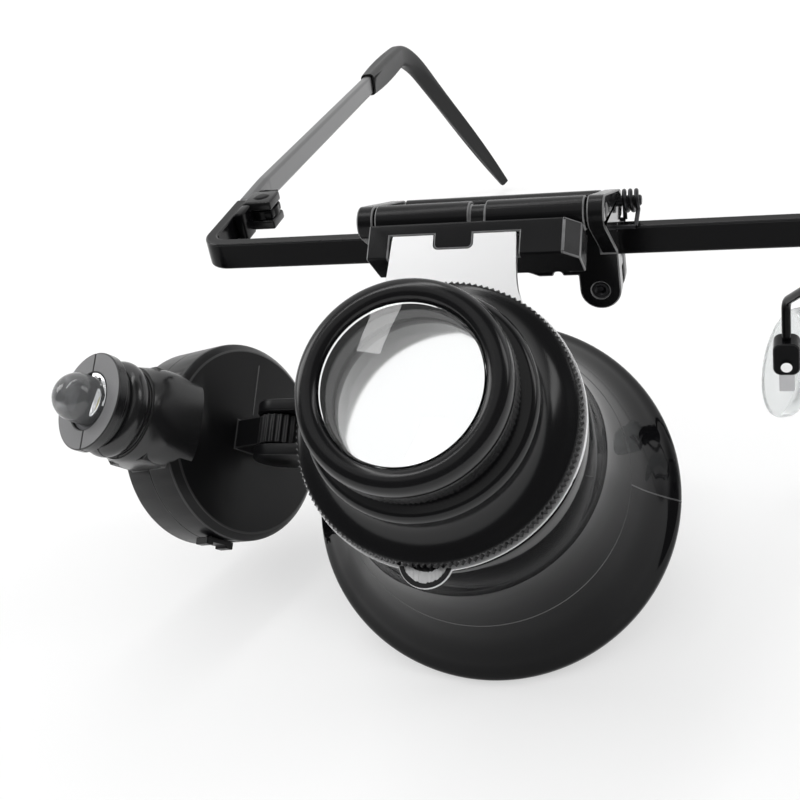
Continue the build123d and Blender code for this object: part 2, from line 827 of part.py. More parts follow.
with BuildPart() as loupe_bracket:
    with BuildSketch(face_plane(bracket_face)):
        Circle(ring_radius)
        with BuildLine():
            Spline(*tongue_side(1))
            Spline(*tongue_side(-1))
            Line(tongue_side(1)[-1], tongue_side(-1)[-1])
            Line(tongue_side(1)[0], tongue_side(-1)[0])
        make_face()
        with Locations((0, bump_radius - ring_radius - bump_reach)):
            Circle(bump_radius)
        with Locations((0, tab_top)):
            RectangleRounded(notch_half_width * 2, notch_depth * 2, notch_round, mode=Mode.SUBTRACT)
        Circle(boss_radius + fit_gap, mode=Mode.SUBTRACT)
    extrude(amount=-bracket_thickness)
    with BuildSketch(face_plane(bracket_back)):
        Circle(ring_radius)
        Circle(ring_radius - bracket_lip_wall, mode=Mode.SUBTRACT)
        with Locations((0, ring_radius)):
            Rectangle(tab_outline[2][0] * 2.6, ring_radius, mode=Mode.SUBTRACT)
        with PolarLocations(ring_radius, 1, start_angle=bracket_slit_angle):
            Rectangle(bracket_lip_wall * 4, bracket_slit, mode=Mode.SUBTRACT)
    extrude(amount=-bracket_lip_length)
save(loupe_bracket, "loupe_bracket")

# Lens barrel, screwed into the eye cup through the bracket
cove_start = bracket_face - flange_thickness


def on_rim(point):
    """True for a profile corner on the barrel's front face."""
    return abs((Vector(*point) - front_point).dot(axis_dir)) < fit_gap


with BuildPart() as lens_barrel:
    with BuildSketch(profile_plane):
        with BuildLine():
            Polyline(
                (aperture_radius, 0),
                (rim_radius, 0),
                (rim_radius, rib_start),
                (rim_radius - rib_depth, rib_start),
                (rim_radius - rib_depth, rib_end),
                (groove_radius, rib_end),
                (groove_radius, groove_end),
                (shoulder_radius, groove_end),
                (shoulder_radius, shoulder_end),
                (cove_radius, shoulder_end + shoulder_round),
            )
            RadiusArc(
                (cove_radius, shoulder_end + shoulder_round),
                (cone_radius, cove_start),
                cove_bow,
            )
            Polyline(
                (cone_radius, cove_start),
                (flange_radius - flange_tooth_depth, cove_start),
                (flange_radius - flange_tooth_depth, bracket_face),
                (boss_radius, bracket_face),
                (boss_radius, bracket_face + boss_length),
                (lens_radius + fit_gap, bracket_face + boss_length),
                (lens_radius + fit_gap, lens_lip),
                (aperture_radius, lens_lip),
                (aperture_radius, 0),
            )
        make_face()
        fillet(vertices().filter_by(on_rim), radius=rim_round)
    revolve(axis=loupe_axis)
    with BuildSketch(face_plane(rib_start)):
        with BuildLine():
            Polyline(*toothed_points(rib_count, rim_radius, rib_depth), close=True)
        make_face()
        Circle(rim_radius - rib_depth * 2, mode=Mode.SUBTRACT)
    extrude(amount=rib_start - rib_end)
    with BuildSketch(face_plane(cove_start)):
        with BuildLine():
            Polyline(*toothed_points(flange_tooth_count, flange_radius, flange_tooth_depth), close=True)
        make_face()
        Circle(flange_radius - flange_tooth_depth * 2, mode=Mode.SUBTRACT)
    extrude(amount=-flange_thickness)
    line_ring = face_plane(rim_line_at)
    with BuildSketch(line_ring):
        Circle(rim_radius + cut_over)
        Circle(rim_radius - rim_line_depth, mode=Mode.SUBTRACT)
    extrude(amount=-rim_line_width, mode=Mode.SUBTRACT)
save(lens_barrel, "lens_barrel")

# Lens stack, put in from behind and held by a threaded ring
front_lens_at = lens_lip
spacer_at = front_lens_at + lens_edge
rear_lens_at = spacer_at + spacer_length
lens_ring_at = rear_lens_at + lens_edge
dome_radius = lens_radius - lens_ring_wall


def dome(radius, edge, sag):
    """Start, middle and end of a lens surface's arc, from the loupe's axis to the rim."""
    bow = (radius * radius + sag * sag) / (2 * abs(sag))
    half = atan2(radius, bow - abs(sag)) / 2
    middle = edge + sag - sag / abs(sag) * (bow - bow * cos(half))
    return (0, edge + sag), (bow * sin(half), middle), (radius, edge)


def make_lens(start, rise_front, rise_back):
    """Lens with a flat edge and two domed faces."""
    with BuildPart() as lens:
        with BuildSketch(profile_plane):
            with BuildLine():
                ThreePointArc(*dome(dome_radius, start, -rise_front))
                Polyline(
                    (dome_radius, start),
                    (lens_radius, start),
                    (lens_radius, start + lens_edge),
                    (dome_radius, start + lens_edge),
                )
                ThreePointArc(*dome(dome_radius, start + lens_edge, rise_back))
                Line((0, start + lens_edge + rise_back), (0, start - rise_front))
            make_face()
        revolve(axis=loupe_axis)
    return lens


def make_lens_tube(start, length):
    """Plain ring inside the barrel's bore."""
    with BuildPart() as tube:
        with BuildSketch(face_plane(start)):
            Circle(lens_radius)
            Circle(lens_radius - lens_ring_wall, mode=Mode.SUBTRACT)
        extrude(amount=-length)
    return tube


save(make_lens(front_lens_at, front_sag, middle_sag), "front_lens")
save(make_lens_tube(spacer_at, spacer_length), "lens_spacer")
save(make_lens(rear_lens_at, middle_sag, rear_sag), "rear_lens")
save(make_lens_tube(lens_ring_at, lens_ring_length), "lens_ring")

# Eye cup with the lamp's fork on its side
cup_start = bracket_back
lip_end = bracket_back + bracket_lip_length + joint_gap
neck_inside = neck_radius - cup_wall


def flare(start_radius, end_radius, start, end):
    """Points of a wall that widens along the loupe's axis."""
    inner = [
        (start_radius + (end_radius - start_radius) * wide, start + (end - start) * along)
        for wide, along in cup_shares
    ]
    return [(start_radius, start), *inner, (end_radius, end)]


boss_room = bracket_face + boss_length + joint_gap
cup_dir = axis_dir * cos(radians(cup_lean)) - side_dir * sin(radians(cup_lean))
cup_side_dir = side_dir * cos(radians(cup_lean)) + axis_dir * sin(radians(cup_lean))
cup_knee = front_point + axis_dir * boss_room
cup_origin = cup_knee - cup_dir * boss_room
cup_plane = Plane(origin=cup_origin, x_dir=cup_side_dir, z_dir=up_dir)
cup_axis = Axis(cup_origin, cup_dir)
cup_mitre = Plane(origin=cup_knee, z_dir=axis_dir + cup_dir)
lamp_pin_point = (
    front_point
    - side_dir * lamp_pin_side
    + axis_dir * lamp_pin_axial
    + up_dir * lamp_pin_height
)
lug_start = knuckle_height / 2 + joint_gap


def lug_plane(rise):
    """Plane across the lamp's pin at a height from the pin's middle; Y runs along the loupe."""
    return profile_plane.offset(lamp_pin_height + rise)


with BuildPart() as cup_collar:
    with BuildSketch(profile_plane):
        with BuildLine():
            Polyline(
                (0, cup_start),
                (neck_radius - neck_step, cup_start),
                (neck_radius - neck_step, lip_end),
                (neck_radius, lip_end),
                (neck_radius, neck_end),
                (0, neck_end),
                close=True,
            )
        make_face()
    revolve(axis=loupe_axis)
    split(bisect_by=cup_mitre, keep=Keep.BOTTOM)

with BuildPart() as cup_flare:
    outer = flare(neck_radius, cup_radius, neck_end, cup_end - cup_rim_length)
    with BuildSketch(cup_plane):
        with BuildLine():
            Polyline((0, lip_end), (neck_radius, lip_end), (neck_radius, neck_end))
            Spline(*outer, tangents=((0, 1), (0.25, 1)))
            Polyline(outer[-1], (cup_radius, cup_end), (0, cup_end), (0, lip_end))
        make_face()
    revolve(axis=cup_axis)
    split(bisect_by=cup_mitre, keep=Keep.TOP)

with BuildPart() as eye_cup:
    add(cup_collar.part)
    add(cup_flare.part)
    for rise in (lug_start, -lug_start - lug_thickness):
        with BuildSketch(lug_plane(rise)):
            with Locations((-lamp_pin_side, lamp_pin_axial)):
                Circle(lug_radius)
            with Locations((-lug_root_side, lamp_pin_axial)):
                Rectangle(lug_radius, lug_root_half_width * 2)
            make_hull()
        extrude(amount=lug_thickness)
    inner = flare(neck_inside, cup_radius - cup_rim_wall, neck_end + cup_rim_length, cup_end)
    with BuildSketch(profile_plane):
        with Locations(((boss_radius + fit_gap) / 2, (cup_start + neck_end) / 2)):
            Rectangle(boss_radius + fit_gap, neck_end - cup_start)
    revolve(axis=loupe_axis, mode=Mode.SUBTRACT)
    with BuildSketch(cup_plane):
        with BuildLine():
            Polyline((0, boss_room), (neck_inside, boss_room), inner[0])
            Spline(*inner, tangents=((0, 1), (0.25, 1)))
            Polyline(inner[-1], (0, cup_end), (0, boss_room))
        make_face()
    revolve(axis=cup_axis, mode=Mode.SUBTRACT)
    with BuildSketch(lug_plane(-lug_start - lug_thickness)):
        with Locations((-lamp_pin_side, lamp_pin_axial)):
            Circle(lamp_screw_radius + fit_gap)
    extrude(amount=lug_start * 2 + lug_thickness * 2, mode=Mode.SUBTRACT)
    with BuildSketch(lug_plane(-lug_start - lug_thickness)):
        with Locations((-lamp_pin_side, lamp_pin_axial)):
            Circle(lamp_screw_head_radius + fit_gap)
    extrude(amount=lamp_screw_head_height, mode=Mode.SUBTRACT)
save(eye_cup, "eye_cup")

with BuildPart() as lamp_hinge_screw:
    with BuildSketch(lug_plane(-lug_start - lug_thickness)):
        with Locations((-lamp_pin_side, lamp_pin_axial)):
            Circle(lamp_screw_head_radius)
    extrude(amount=lamp_screw_head_height)
    with BuildSketch(lug_plane(-lug_start - lug_thickness)):
        with Locations((-lamp_pin_side, lamp_pin_axial)):
            Circle(lamp_screw_radius)
    extrude(amount=lug_start * 2 + lug_thickness * 2)
save(lamp_hinge_screw, "lamp_hinge_screw")

# Lamp case: a flat drum for the cells with a tube for the light, split down the middle
turn = radians(lamp_turn)
lamp_dir = side_dir * -sin(turn) - axis_dir * cos(turn)
drum_dir = side_dir * cos(turn) - axis_dir * sin(turn)
drum_point = lamp_pin_point - drum_dir * drum_standoff - up_dir * drum_sink
case_middle = drum_point - drum_dir * (drum_depth / 2)
half_depth = drum_depth / 2
cell_room = drum_radius - drum_wall
led_dome_at = tube_face + led_dome_ahead
led_front = led_dome_at - led_body_length
led_back = led_front - led_flange_length
case_centre_plane = Plane(origin=case_middle, x_dir=drum_dir, z_dir=-up_dir)


def drum_plane(depth):
    """Plane along the drum's face, a depth below it; X runs back from the light."""
    return Plane(origin=drum_point - drum_dir * depth, x_dir=-lamp_dir, z_dir=drum_dir)


def tube_plane(ahead):
    """Plane across the light's tube, a distance ahead of the drum's axis."""
    return Plane(origin=case_middle + lamp_dir * ahead, x_dir=drum_dir, z_dir=lamp_dir)


def make_case(keep):
    """Half of the lamp case: 1 for the half with the drum's face, -1 for the other."""
    with BuildPart() as case:
        with BuildSketch(drum_plane(drum_depth)):
            Circle(drum_radius)
        extrude(amount=drum_depth)
        chamfer(case.edges().filter_by(GeomType.CIRCLE), length=drum_edge_cut)
        with BuildSketch(tube_plane(tube_base_start)):
            Rectangle(tube_base_depth, tube_base_side)
            chamfer(vertices(), length=tube_base_cut)
        extrude(amount=tube_base_end - tube_base_start)
        with BuildSketch(case_centre_plane):
            with BuildLine():
                Polyline(
                    (0, tube_base_start),
                    (tube_body_radius, tube_base_start),
                    (tube_body_radius, tube_groove_end),
                    (tube_groove_radius, tube_groove_end),
                    (tube_groove_radius, tube_bead_end),
                )
                ThreePointArc(
                    (tube_groove_radius, tube_bead_end),
                    (tube_bead_radius, (tube_bead_end + tube_neck_end) / 2),
                    (tube_neck_radius, tube_neck_end),
                )
                Polyline(
                    (tube_neck_radius, tube_neck_end),
                    (tube_neck_radius, tube_flange_end),
                    (tube_flange_radius, tube_flange_end),
                    (tube_flange_radius, tube_face),
                    (0, tube_face),
                    (0, tube_base_start),
                )
            make_face()
        revolve(axis=Axis(case_middle, lamp_dir))
        with BuildSketch(drum_plane(drum_depth - drum_wall)):
            Circle(cell_room)
        extrude(amount=drum_depth - drum_wall * 2, mode=Mode.SUBTRACT)
        with BuildSketch(tube_plane(0)):
            Circle(lead_bore_radius)
        extrude(amount=led_back, mode=Mode.SUBTRACT)
        with BuildSketch(tube_plane(led_back)):
            Circle(tube_bore_radius)
        extrude(amount=tube_face - led_back, mode=Mode.SUBTRACT)
        with BuildSketch(drum_plane(half_depth)):
            Rectangle(tube_face * 3, tube_face * 3)
        extrude(amount=-keep * drum_depth, mode=Mode.SUBTRACT)
    return case


knuckle_points = toothed_points(
    knuckle_tooth_count, knuckle_radius, knuckle_tooth_depth, (-lamp_pin_side, lamp_pin_axial)
)
web_plane = Plane(
    origin=lamp_pin_point - up_dir * (knuckle_height / 2), x_dir=drum_dir, z_dir=up_dir
)
with BuildPart() as lamp_shell_inner:
    add(make_case(1).part)
    with BuildSketch(lug_plane(-knuckle_height / 2)):
        with BuildLine():
            Polyline(*knuckle_points, close=True)
        make_face()
    extrude(amount=knuckle_height)
    with BuildSketch(web_plane):
        with Locations((-(drum_standoff + fit_gap) / 2, 0)):
            Rectangle(drum_standoff + fit_gap, knuckle_web)
    extrude(amount=knuckle_height)
    with BuildSketch(lug_plane(-knuckle_height)):
        with Locations((-lamp_pin_side, lamp_pin_axial)):
            Circle(lamp_screw_radius + fit_gap)
    extrude(amount=knuckle_height * 2, mode=Mode.SUBTRACT)
    slot_length = switch_stem_length + switch_travel + switch_gap * 2
    with BuildSketch(Plane(origin=drum_point, x_dir=-lamp_dir, z_dir=-up_dir)):
        with Locations((0, -switch_depth)):
            Rectangle(slot_length, switch_stem_width + switch_gap * 2)
    extrude(amount=drum_radius * 2, mode=Mode.SUBTRACT)
save(lamp_shell_inner, "lamp_shell_inner")

floor_boss_height = drum_depth - drum_wall * 2 - contact_thickness * 2 - cell_thickness * 2 - fit_gap
with BuildPart() as lamp_shell_outer:
    add(make_case(-1).part)
    with BuildSketch(drum_plane(drum_depth - drum_wall)):
        Circle(floor_boss_radius)
    extrude(amount=floor_boss_height)
save(lamp_shell_outer, "lamp_shell_outer")

# Light source, its reflector sleeve and leads
with BuildPart() as led:
    with BuildSketch(case_centre_plane):
        with BuildLine():
            Polyline(
                (0, led_back),
                (led_flange_radius, led_back),
                (led_flange_radius, led_front),
                (led_radius, led_front),
                (led_radius, led_dome_at),
            )
            half_way = led_radius * sqrt(0.5)
            ThreePointArc(
                (led_radius, led_dome_at), (half_way, led_dome_at + half_way), (0, led_dome_at + led_radius)
            )
            Line((0, led_dome_at + led_radius), (0, led_back))
        make_face()
    revolve(axis=Axis(case_middle, lamp_dir))
save(led, "led")

with BuildPart() as led_sleeve:
    with BuildSketch(tube_plane(tube_face - reflector_recess)):
        Circle(led_radius + fit_gap + reflector_wall)
        Circle(led_radius + fit_gap, mode=Mode.SUBTRACT)
    extrude(amount=-reflector_length)
save(led_sleeve, "led_sleeve")

with BuildPart() as led_leads:
    with BuildSketch(tube_plane(contact_arm)):
        with Locations((led_lead_spread / 2, 0), (-led_lead_spread / 2, 0)):
            Rectangle(led_lead_side, led_lead_side)
    extrude(amount=led_back - contact_arm)
save(led_leads, "led_leads")

# Cells and the contact plates on both sides of them
front_contact_depth = drum_wall + contact_thickness
cell_step = cell_thickness + fit_gap
rear_contact_depth = front_contact_depth + cell_step + cell_thickness
lead_inner = (led_lead_spread - led_lead_side) / 2


def make_contact(depth, leg_from, leg_to):
    """Contact plate whose front is at a depth below the drum's face, with a leg to a lead."""
    with BuildPart() as contact:
        with BuildSketch(drum_plane(depth)):
            Circle(contact_radius)
            with Locations((-contact_arm / 2, 0)):
                Rectangle(contact_arm, contact_strip)
        extrude(amount=contact_thickness)
        with BuildSketch(drum_plane(leg_to)):
            with Locations((contact_thickness / 2 - contact_arm, 0)):
                Rectangle(contact_thickness, contact_strip)
        extrude(amount=leg_to - leg_from)
    return contact


save(make_contact(front_contact_depth, drum_wall, half_depth - lead_inner), "contact_front")
rear_back = rear_contact_depth + contact_thickness
save(make_contact(rear_back, half_depth + lead_inner, rear_back), "contact_rear")

with BuildPart() as button_cells:
    for depth in (front_contact_depth, front_contact_depth + cell_step):
        with BuildSketch(drum_plane(depth)):
            Circle(cell_radius)
        extrude(amount=-cell_thickness)
save(button_cells, "button_cells")

# Slide switch: a ridged tab outside, a stem through the slot and a foot inside
foot_inner = cell_room - switch_foot_thickness - switch_gap * 2.5
foot_outer = foot_inner + switch_foot_thickness
tab_inner = drum_radius + switch_gap
tab_outer = tab_inner + switch_rise


def switch_plane(below):
    """Plane across the slider, a distance below the drum's centre; X runs back from the light."""
    origin = drum_point - up_dir * below - drum_dir * switch_depth + lamp_dir * (switch_travel / 2)
    return Plane(origin=origin, x_dir=-lamp_dir, z_dir=-up_dir)


with BuildPart() as switch_slider:
    with BuildSketch(switch_plane(foot_inner)):
        Rectangle(switch_foot_length, switch_foot_width)
    extrude(amount=switch_foot_thickness)
    with BuildSketch(switch_plane(foot_outer)):
        Rectangle(switch_stem_length, switch_stem_width)
    extrude(amount=tab_inner - foot_outer)
    with BuildSketch(switch_plane(tab_inner)):
        Rectangle(switch_length, switch_width)
    extrude(amount=switch_rise - switch_ridge)
    with BuildSketch(switch_plane(tab_outer - switch_ridge)):
        ridge_at = (switch_length - switch_ridge_length) / 2
        with Locations((-ridge_at, 0), (ridge_at, 0)):
            Rectangle(switch_ridge_length, switch_width)
    extrude(amount=switch_ridge)
save(switch_slider, "switch_slider")
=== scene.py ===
"""Looks of the lighted magnifier glasses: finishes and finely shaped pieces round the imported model."""

import json
import logging
import math
from dataclasses import dataclass, field
from enum import Enum

import bmesh
import bpy
from mathutils import Matrix, Vector, geometry, noise

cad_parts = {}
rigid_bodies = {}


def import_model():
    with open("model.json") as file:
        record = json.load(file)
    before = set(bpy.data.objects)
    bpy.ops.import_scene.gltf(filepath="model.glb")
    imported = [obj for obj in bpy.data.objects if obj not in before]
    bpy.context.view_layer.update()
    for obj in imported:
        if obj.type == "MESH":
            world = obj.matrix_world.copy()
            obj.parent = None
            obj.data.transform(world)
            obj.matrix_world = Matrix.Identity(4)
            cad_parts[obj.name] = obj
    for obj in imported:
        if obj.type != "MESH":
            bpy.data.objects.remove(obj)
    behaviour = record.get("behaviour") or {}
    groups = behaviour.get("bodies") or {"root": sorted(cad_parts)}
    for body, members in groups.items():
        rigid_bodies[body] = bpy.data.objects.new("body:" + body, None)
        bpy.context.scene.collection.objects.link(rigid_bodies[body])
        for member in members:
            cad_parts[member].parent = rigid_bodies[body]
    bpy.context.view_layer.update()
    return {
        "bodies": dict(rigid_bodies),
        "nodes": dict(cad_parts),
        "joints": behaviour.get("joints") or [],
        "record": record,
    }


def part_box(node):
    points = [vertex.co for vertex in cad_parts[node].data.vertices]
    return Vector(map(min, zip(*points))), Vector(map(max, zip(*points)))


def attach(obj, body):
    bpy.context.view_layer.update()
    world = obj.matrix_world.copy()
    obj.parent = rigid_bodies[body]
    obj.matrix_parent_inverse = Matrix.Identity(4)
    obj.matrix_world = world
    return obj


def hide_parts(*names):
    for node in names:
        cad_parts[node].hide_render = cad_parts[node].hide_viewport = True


LOG = logging.getLogger("magnifier_glasses")
MM = 0.001

# Lean of the loupe's axis, its three directions, and the lamp's turn about its own pin
TILT = math.radians(49.7)
SIDE = Vector((1, 0, 0))
REAR = Vector((0, math.cos(TILT), -math.sin(TILT)))
RISE = Vector((0, math.sin(TILT), math.cos(TILT)))
LAMP_TURN = math.radians(24.4)
LAMP_AHEAD = -math.sin(LAMP_TURN) * SIDE - math.cos(LAMP_TURN) * REAR

# Middle of the flip pin, front of the loupe on its axis, and middle of the lamp's pin
HINGE = Vector((-36.6, -6.6, 5.6)) * MM
FRONT = HINGE - (REAR * 13.6 + RISE * 19.6 + SIDE * 0.4) * MM
LAMP_PIN = FRONT + (SIDE * -23.65 + REAR * 33.4 + RISE * 5.3) * MM
FLOOR_LEVEL = -37.27 * MM

# Angles in degrees from which the edges of blocks, fine lines and teeth stay sharp
BLOCK_SMOOTH = 50.0
LINE_SMOOTH = 60.0
TOOTH_SMOOTH = 20.0

# Share of a tooth's depth that is left at its two faces
WORN_TIP = 0.35

Socket = bpy.types.NodeSocket
Node = bpy.types.Node
NodeTree = bpy.types.NodeTree
Mesh = bpy.types.Mesh
BMesh = bmesh.types.BMesh
BMVert = bmesh.types.BMVert
BMEdge = bmesh.types.BMEdge
Profile = list[tuple[float, float, float]]
Spot = tuple[float, float]


class Body(Enum):
    """CAD bodies that the pieces ride on."""

    FRAME = "frame"
    TEMPLE_LEFT = "temple_left"
    TEMPLE_RIGHT = "temple_right"
    PAD_LEFT = "pad_left"
    PAD_RIGHT = "pad_right"
    CLIP = "clip"
    JAW = "jaw"
    LOUPE = "loupe"
    LAMP = "lamp"
    SWITCH = "switch"


class Slot(Enum):
    """Material slots of the record; the new pieces do not use them."""

    FRAME = "frame_black"
    SLEEVE = "sleeve_black"
    LOUPE = "loupe_black"
    CLIP = "clip_black"
    LAMP = "lamp_black"
    BRACKET = "bracket_steel"
    LENS = "lens_glass"
    LED = "led_clear"
    BRIGHT = "sleeve_bright"
    PAD = "pad_clear"


def loupe_matrix() -> Matrix:
    """Place of the loupe: millimetres with x to the side, y down across it and z to the rear."""
    turn = Matrix((SIDE, -RISE, REAR)).transposed().to_4x4()
    return Matrix.Translation(FRONT) @ turn @ Matrix.Scale(MM, 4)


def lamp_matrix() -> Matrix:
    """Place of the lamp: millimetres with x to its rear, y up and z towards the cup.

    Returns:
        The matrix into the frame.
    """
    across = math.cos(LAMP_TURN) * SIDE - math.sin(LAMP_TURN) * REAR
    face = LAMP_PIN - (across * 5.0 + RISE * 0.3) * MM
    turn = Matrix((-LAMP_AHEAD, RISE, across)).transposed().to_4x4()
    return Matrix.Translation(face) @ turn @ Matrix.Scale(MM, 4)


def knuckle_matrix() -> Matrix:
    """Place of the lamp's pin: millimetres with x to the side, y to the rear and z up."""
    turn = Matrix((SIDE, REAR, RISE)).transposed().to_4x4()
    return Matrix.Translation(LAMP_PIN) @ turn @ Matrix.Scale(MM, 4)


# Node groups and finishes


def feed(tree: NodeTree, node: Node, inputs: dict) -> None:
    """Sets the inputs of a node.

    Args:
        tree: Tree of the node.
        node: The node.
        inputs: What goes into each input: a value, or the socket that feeds it.
    """
    for key, value in inputs.items():
        if isinstance(value, Socket):
            tree.links.new(value, node.inputs[key])
        else:
            node.inputs[key].default_value = value


def add_node(tree: NodeTree, kind: str, inputs: dict, operation: str = "") -> Node:
    """Adds one shader node.

    Args:
        tree: Tree that gets the node.
        kind: Type of the node.
        inputs: What goes into each input, as in feed.
        operation: Operation of a math node.

    Returns:
        The new node.
    """
    node = tree.nodes.new(kind)
    if operation:
        node.operation = operation
    feed(tree, node, inputs)
    return node


class Grain:
    """Shader node group for the small unevenness of a moulded, painted or rolled surface."""

    NAME = "surface_grain"
    INPUTS = (
        ("Patch Scale", 90.0),
        ("Grain Scale", 4000.0),
        ("Stretch", 1.0),
        ("Tone", 0.2),
        ("Spread", 0.08),
        ("Base Roughness", 0.3),
    )
    OUTPUTS = ("Tone Factor", "Roughness", "Height")

    @staticmethod
    def tree() -> NodeTree:
        """Builds the group once.

        Returns:
            The group's node tree.
        """
        if Grain.NAME in bpy.data.node_groups:
            return bpy.data.node_groups[Grain.NAME]
        tree = bpy.data.node_groups.new(Grain.NAME, "ShaderNodeTree")
        for name, value in Grain.INPUTS:
            socket = tree.interface.new_socket(name, in_out="INPUT", socket_type="NodeSocketFloat")
            socket.default_value = value
        for name in Grain.OUTPUTS:
            tree.interface.new_socket(name, in_out="OUTPUT", socket_type="NodeSocketFloat")
        inside = tree.nodes.new("NodeGroupInput").outputs
        place = tree.nodes.new("ShaderNodeTexCoord").outputs["Object"]
        stretch = add_node(tree, "ShaderNodeCombineXYZ", {"X": inside["Stretch"], "Y": 1.0, "Z": 1.0}).outputs[0]
        drawn = add_node(tree, "ShaderNodeVectorMath", {0: place, 1: stretch}, "MULTIPLY").outputs[0]
        patch = Grain._noise(tree, drawn, inside["Patch Scale"], 4.0)
        fine = Grain._noise(tree, drawn, inside["Grain Scale"], 2.0)
        tone = Grain._scaled(tree, patch, inside["Tone"], 1.0)
        spread = Grain._scaled(tree, patch, inside["Spread"], 0.0)
        total = add_node(tree, "ShaderNodeMath", {0: spread, 1: inside["Base Roughness"]}, "ADD")
        total.use_clamp = True
        add_node(tree, "NodeGroupOutput", {"Tone Factor": tone, "Roughness": total.outputs[0], "Height": fine})
        return tree

    @staticmethod
    def _noise(tree: NodeTree, place: Socket, scale: Socket, detail: float) -> Socket:
        """Adds a noise texture and gives the socket of its value."""
        inputs = {"Vector": place, "Scale": scale, "Detail": detail}
        return add_node(tree, "ShaderNodeTexNoise", inputs).outputs["Fac"]

    @staticmethod
    def _scaled(tree: NodeTree, value: Socket, amount: Socket, middle: float) -> Socket:
        """Centres a noise value, multiplies it and moves it to a middle.

        Args:
            tree: The group that gets the nodes.
            value: Noise from 0 to 1.
            amount: Strength of the change.
            middle: Value about which the result varies.

        Returns:
            The result's socket.
        """
        centre = add_node(tree, "ShaderNodeMath", {0: value, 1: 0.5}, "SUBTRACT").outputs[0]
        return add_node(tree, "ShaderNodeMath", {0: centre, 1: amount, 2: middle}, "MULTIPLY_ADD").outputs[0]

    @staticmethod
    def material(name: str, values: dict[str, float]) -> tuple[bpy.types.Material, Node, Node]:
        """Starts a material whose roughness comes from the group.

        Args:
            name: Material name.
            values: The group's inputs.

        Returns:
            The material, its shader and its group node.
        """
        made = bpy.data.materials.new(name)
        made.use_nodes = True
        shader = made.node_tree.nodes["Principled BSDF"]
        grain = made.node_tree.nodes.new("ShaderNodeGroup")
        grain.node_tree = Grain.tree()
        feed(made.node_tree, grain, values)
        feed(made.node_tree, shader, {"Roughness": grain.outputs["Roughness"]})
        return made, shader, grain


@dataclass(frozen=True)
class Surface:
    """A solid finish whose tone, roughness and bump come from the grain group.

    Args:
        name: Material name.
        color: Base colour, linear.
        roughness: Middle roughness.
        spread: How far the roughness wanders in patches.
        tone: How far the colour wanders in patches.
        grain: Scale of the fine bump, per metre.
        bump: Height of the fine bump in millimetres.
        metallic: 1 for bare metal.
        patch: Scale of the patches, per metre.
        stretch: How much finer the grain is along X.
        specular: Specular level.
    """

    name: str
    color: tuple[float, float, float]
    roughness: float
    spread: float = 0.08
    tone: float = 0.25
    grain: float = 3000.0
    bump: float = 0.004
    metallic: float = 0.0
    patch: float = 90.0
    stretch: float = 1.0
    specular: float = 0.5

    def material(self) -> bpy.types.Material:
        """Makes the material once.

        Returns:
            The material, or the one made before.
        """
        if self.name in bpy.data.materials:
            return bpy.data.materials[self.name]
        settings = {
            "Patch Scale": self.patch,
            "Grain Scale": self.grain,
            "Stretch": self.stretch,
            "Tone": self.tone,
            "Spread": self.spread,
            "Base Roughness": self.roughness,
        }
        made, shader, grain = Grain.material(self.name, settings)
        tree = made.node_tree
        tint = {0: self.color, "Scale": grain.outputs["Tone Factor"]}
        shade = add_node(tree, "ShaderNodeVectorMath", tint, "SCALE")
        height = {"Distance": self.bump * MM, "Strength": 1.0, "Height": grain.outputs["Height"]}
        bump = add_node(tree, "ShaderNodeBump", height)
        looks = {"Metallic": self.metallic, "Specular IOR Level": self.specular}
        feed(tree, shader, {**looks, "Base Color": shade.outputs[0], "Normal": bump.outputs[0]})
        return made


@dataclass(frozen=True)
class Clear:
    """A clear finish: glass, resin or silicone, with faint cloudiness in its roughness.

    Args:
        name: Material name.
        color: Tint.
        roughness: Middle roughness.
        ior: Index of refraction.
        spread: How far the roughness wanders.
        scatter: Weight of milky scattering inside.
        patch: Scale of the cloudy patches, per metre.
    """

    name: str
    color: tuple[float, float, float]
    roughness: float
    ior: float
    spread: float = 0.02
    scatter: float = 0.0
    patch: float = 220.0

    def material(self) -> bpy.types.Material:
        """Makes the material once.

        Returns:
            The material, or the one made before.
        """
        if self.name in bpy.data.materials:
            return bpy.data.materials[self.name]
        settings = {"Patch Scale": self.patch, "Spread": self.spread, "Base Roughness": self.roughness}
        made, shader, _ = Grain.material(self.name, settings)
        looks = {"IOR": self.ior, "Transmission Weight": 1.0 - self.scatter}
        feed(made.node_tree, shader, {**looks, "Base Color": (*self.color, 1.0)})
        return made


LOUPE_GLOSS = Surface(
    "loupe_gloss_black", (0.004, 0.004, 0.0045), 0.05, spread=0.05,
    bump=0.001, grain=900.0, patch=160.0, specular=0.19
)
BARREL_BLACK = Surface(
    "barrel_black", (0.005, 0.005, 0.0055), 0.19, spread=0.08, bump=0.0015, grain=1600.0, patch=200.0, specular=0.34
)
CLIP_MOULDED = Surface(
    "clip_moulded_black", (0.005, 0.005, 0.0055), 0.24, spread=0.12,
    bump=0.004, grain=2600.0, patch=260.0, specular=0.2
)
# Painted highlight: light grey, grainy colour on the rounded edges of the clip, jaw and holder
CLIP_EDGE_HIGHLIGHT = Surface(
    "clip_worn_edge", (0.15, 0.15, 0.152), 0.42, spread=0.2, tone=1.5,
    bump=0.01, grain=5200.0, patch=900.0, specular=0.5
)
CLIP_SIDE = Surface(
    "clip_side_gloss", (0.01, 0.01, 0.0105), 0.10, spread=0.06, bump=0.001, grain=900.0, patch=260.0, specular=1.0
)
# Real fine mould ridges; their colour, lighter than the black plastic, is a painted highlight
MOULD_LINE_HIGHLIGHT = Surface("mould_line_black", (0.05, 0.05, 0.051), 0.3, spread=0.1, grain=2600.0, specular=0.6)
LAMP_MOULDED = Surface(
    "lamp_moulded_black", (0.005, 0.005, 0.0055), 0.33, spread=0.12,
    bump=0.004, grain=3200.0, patch=240.0, specular=0.22
)
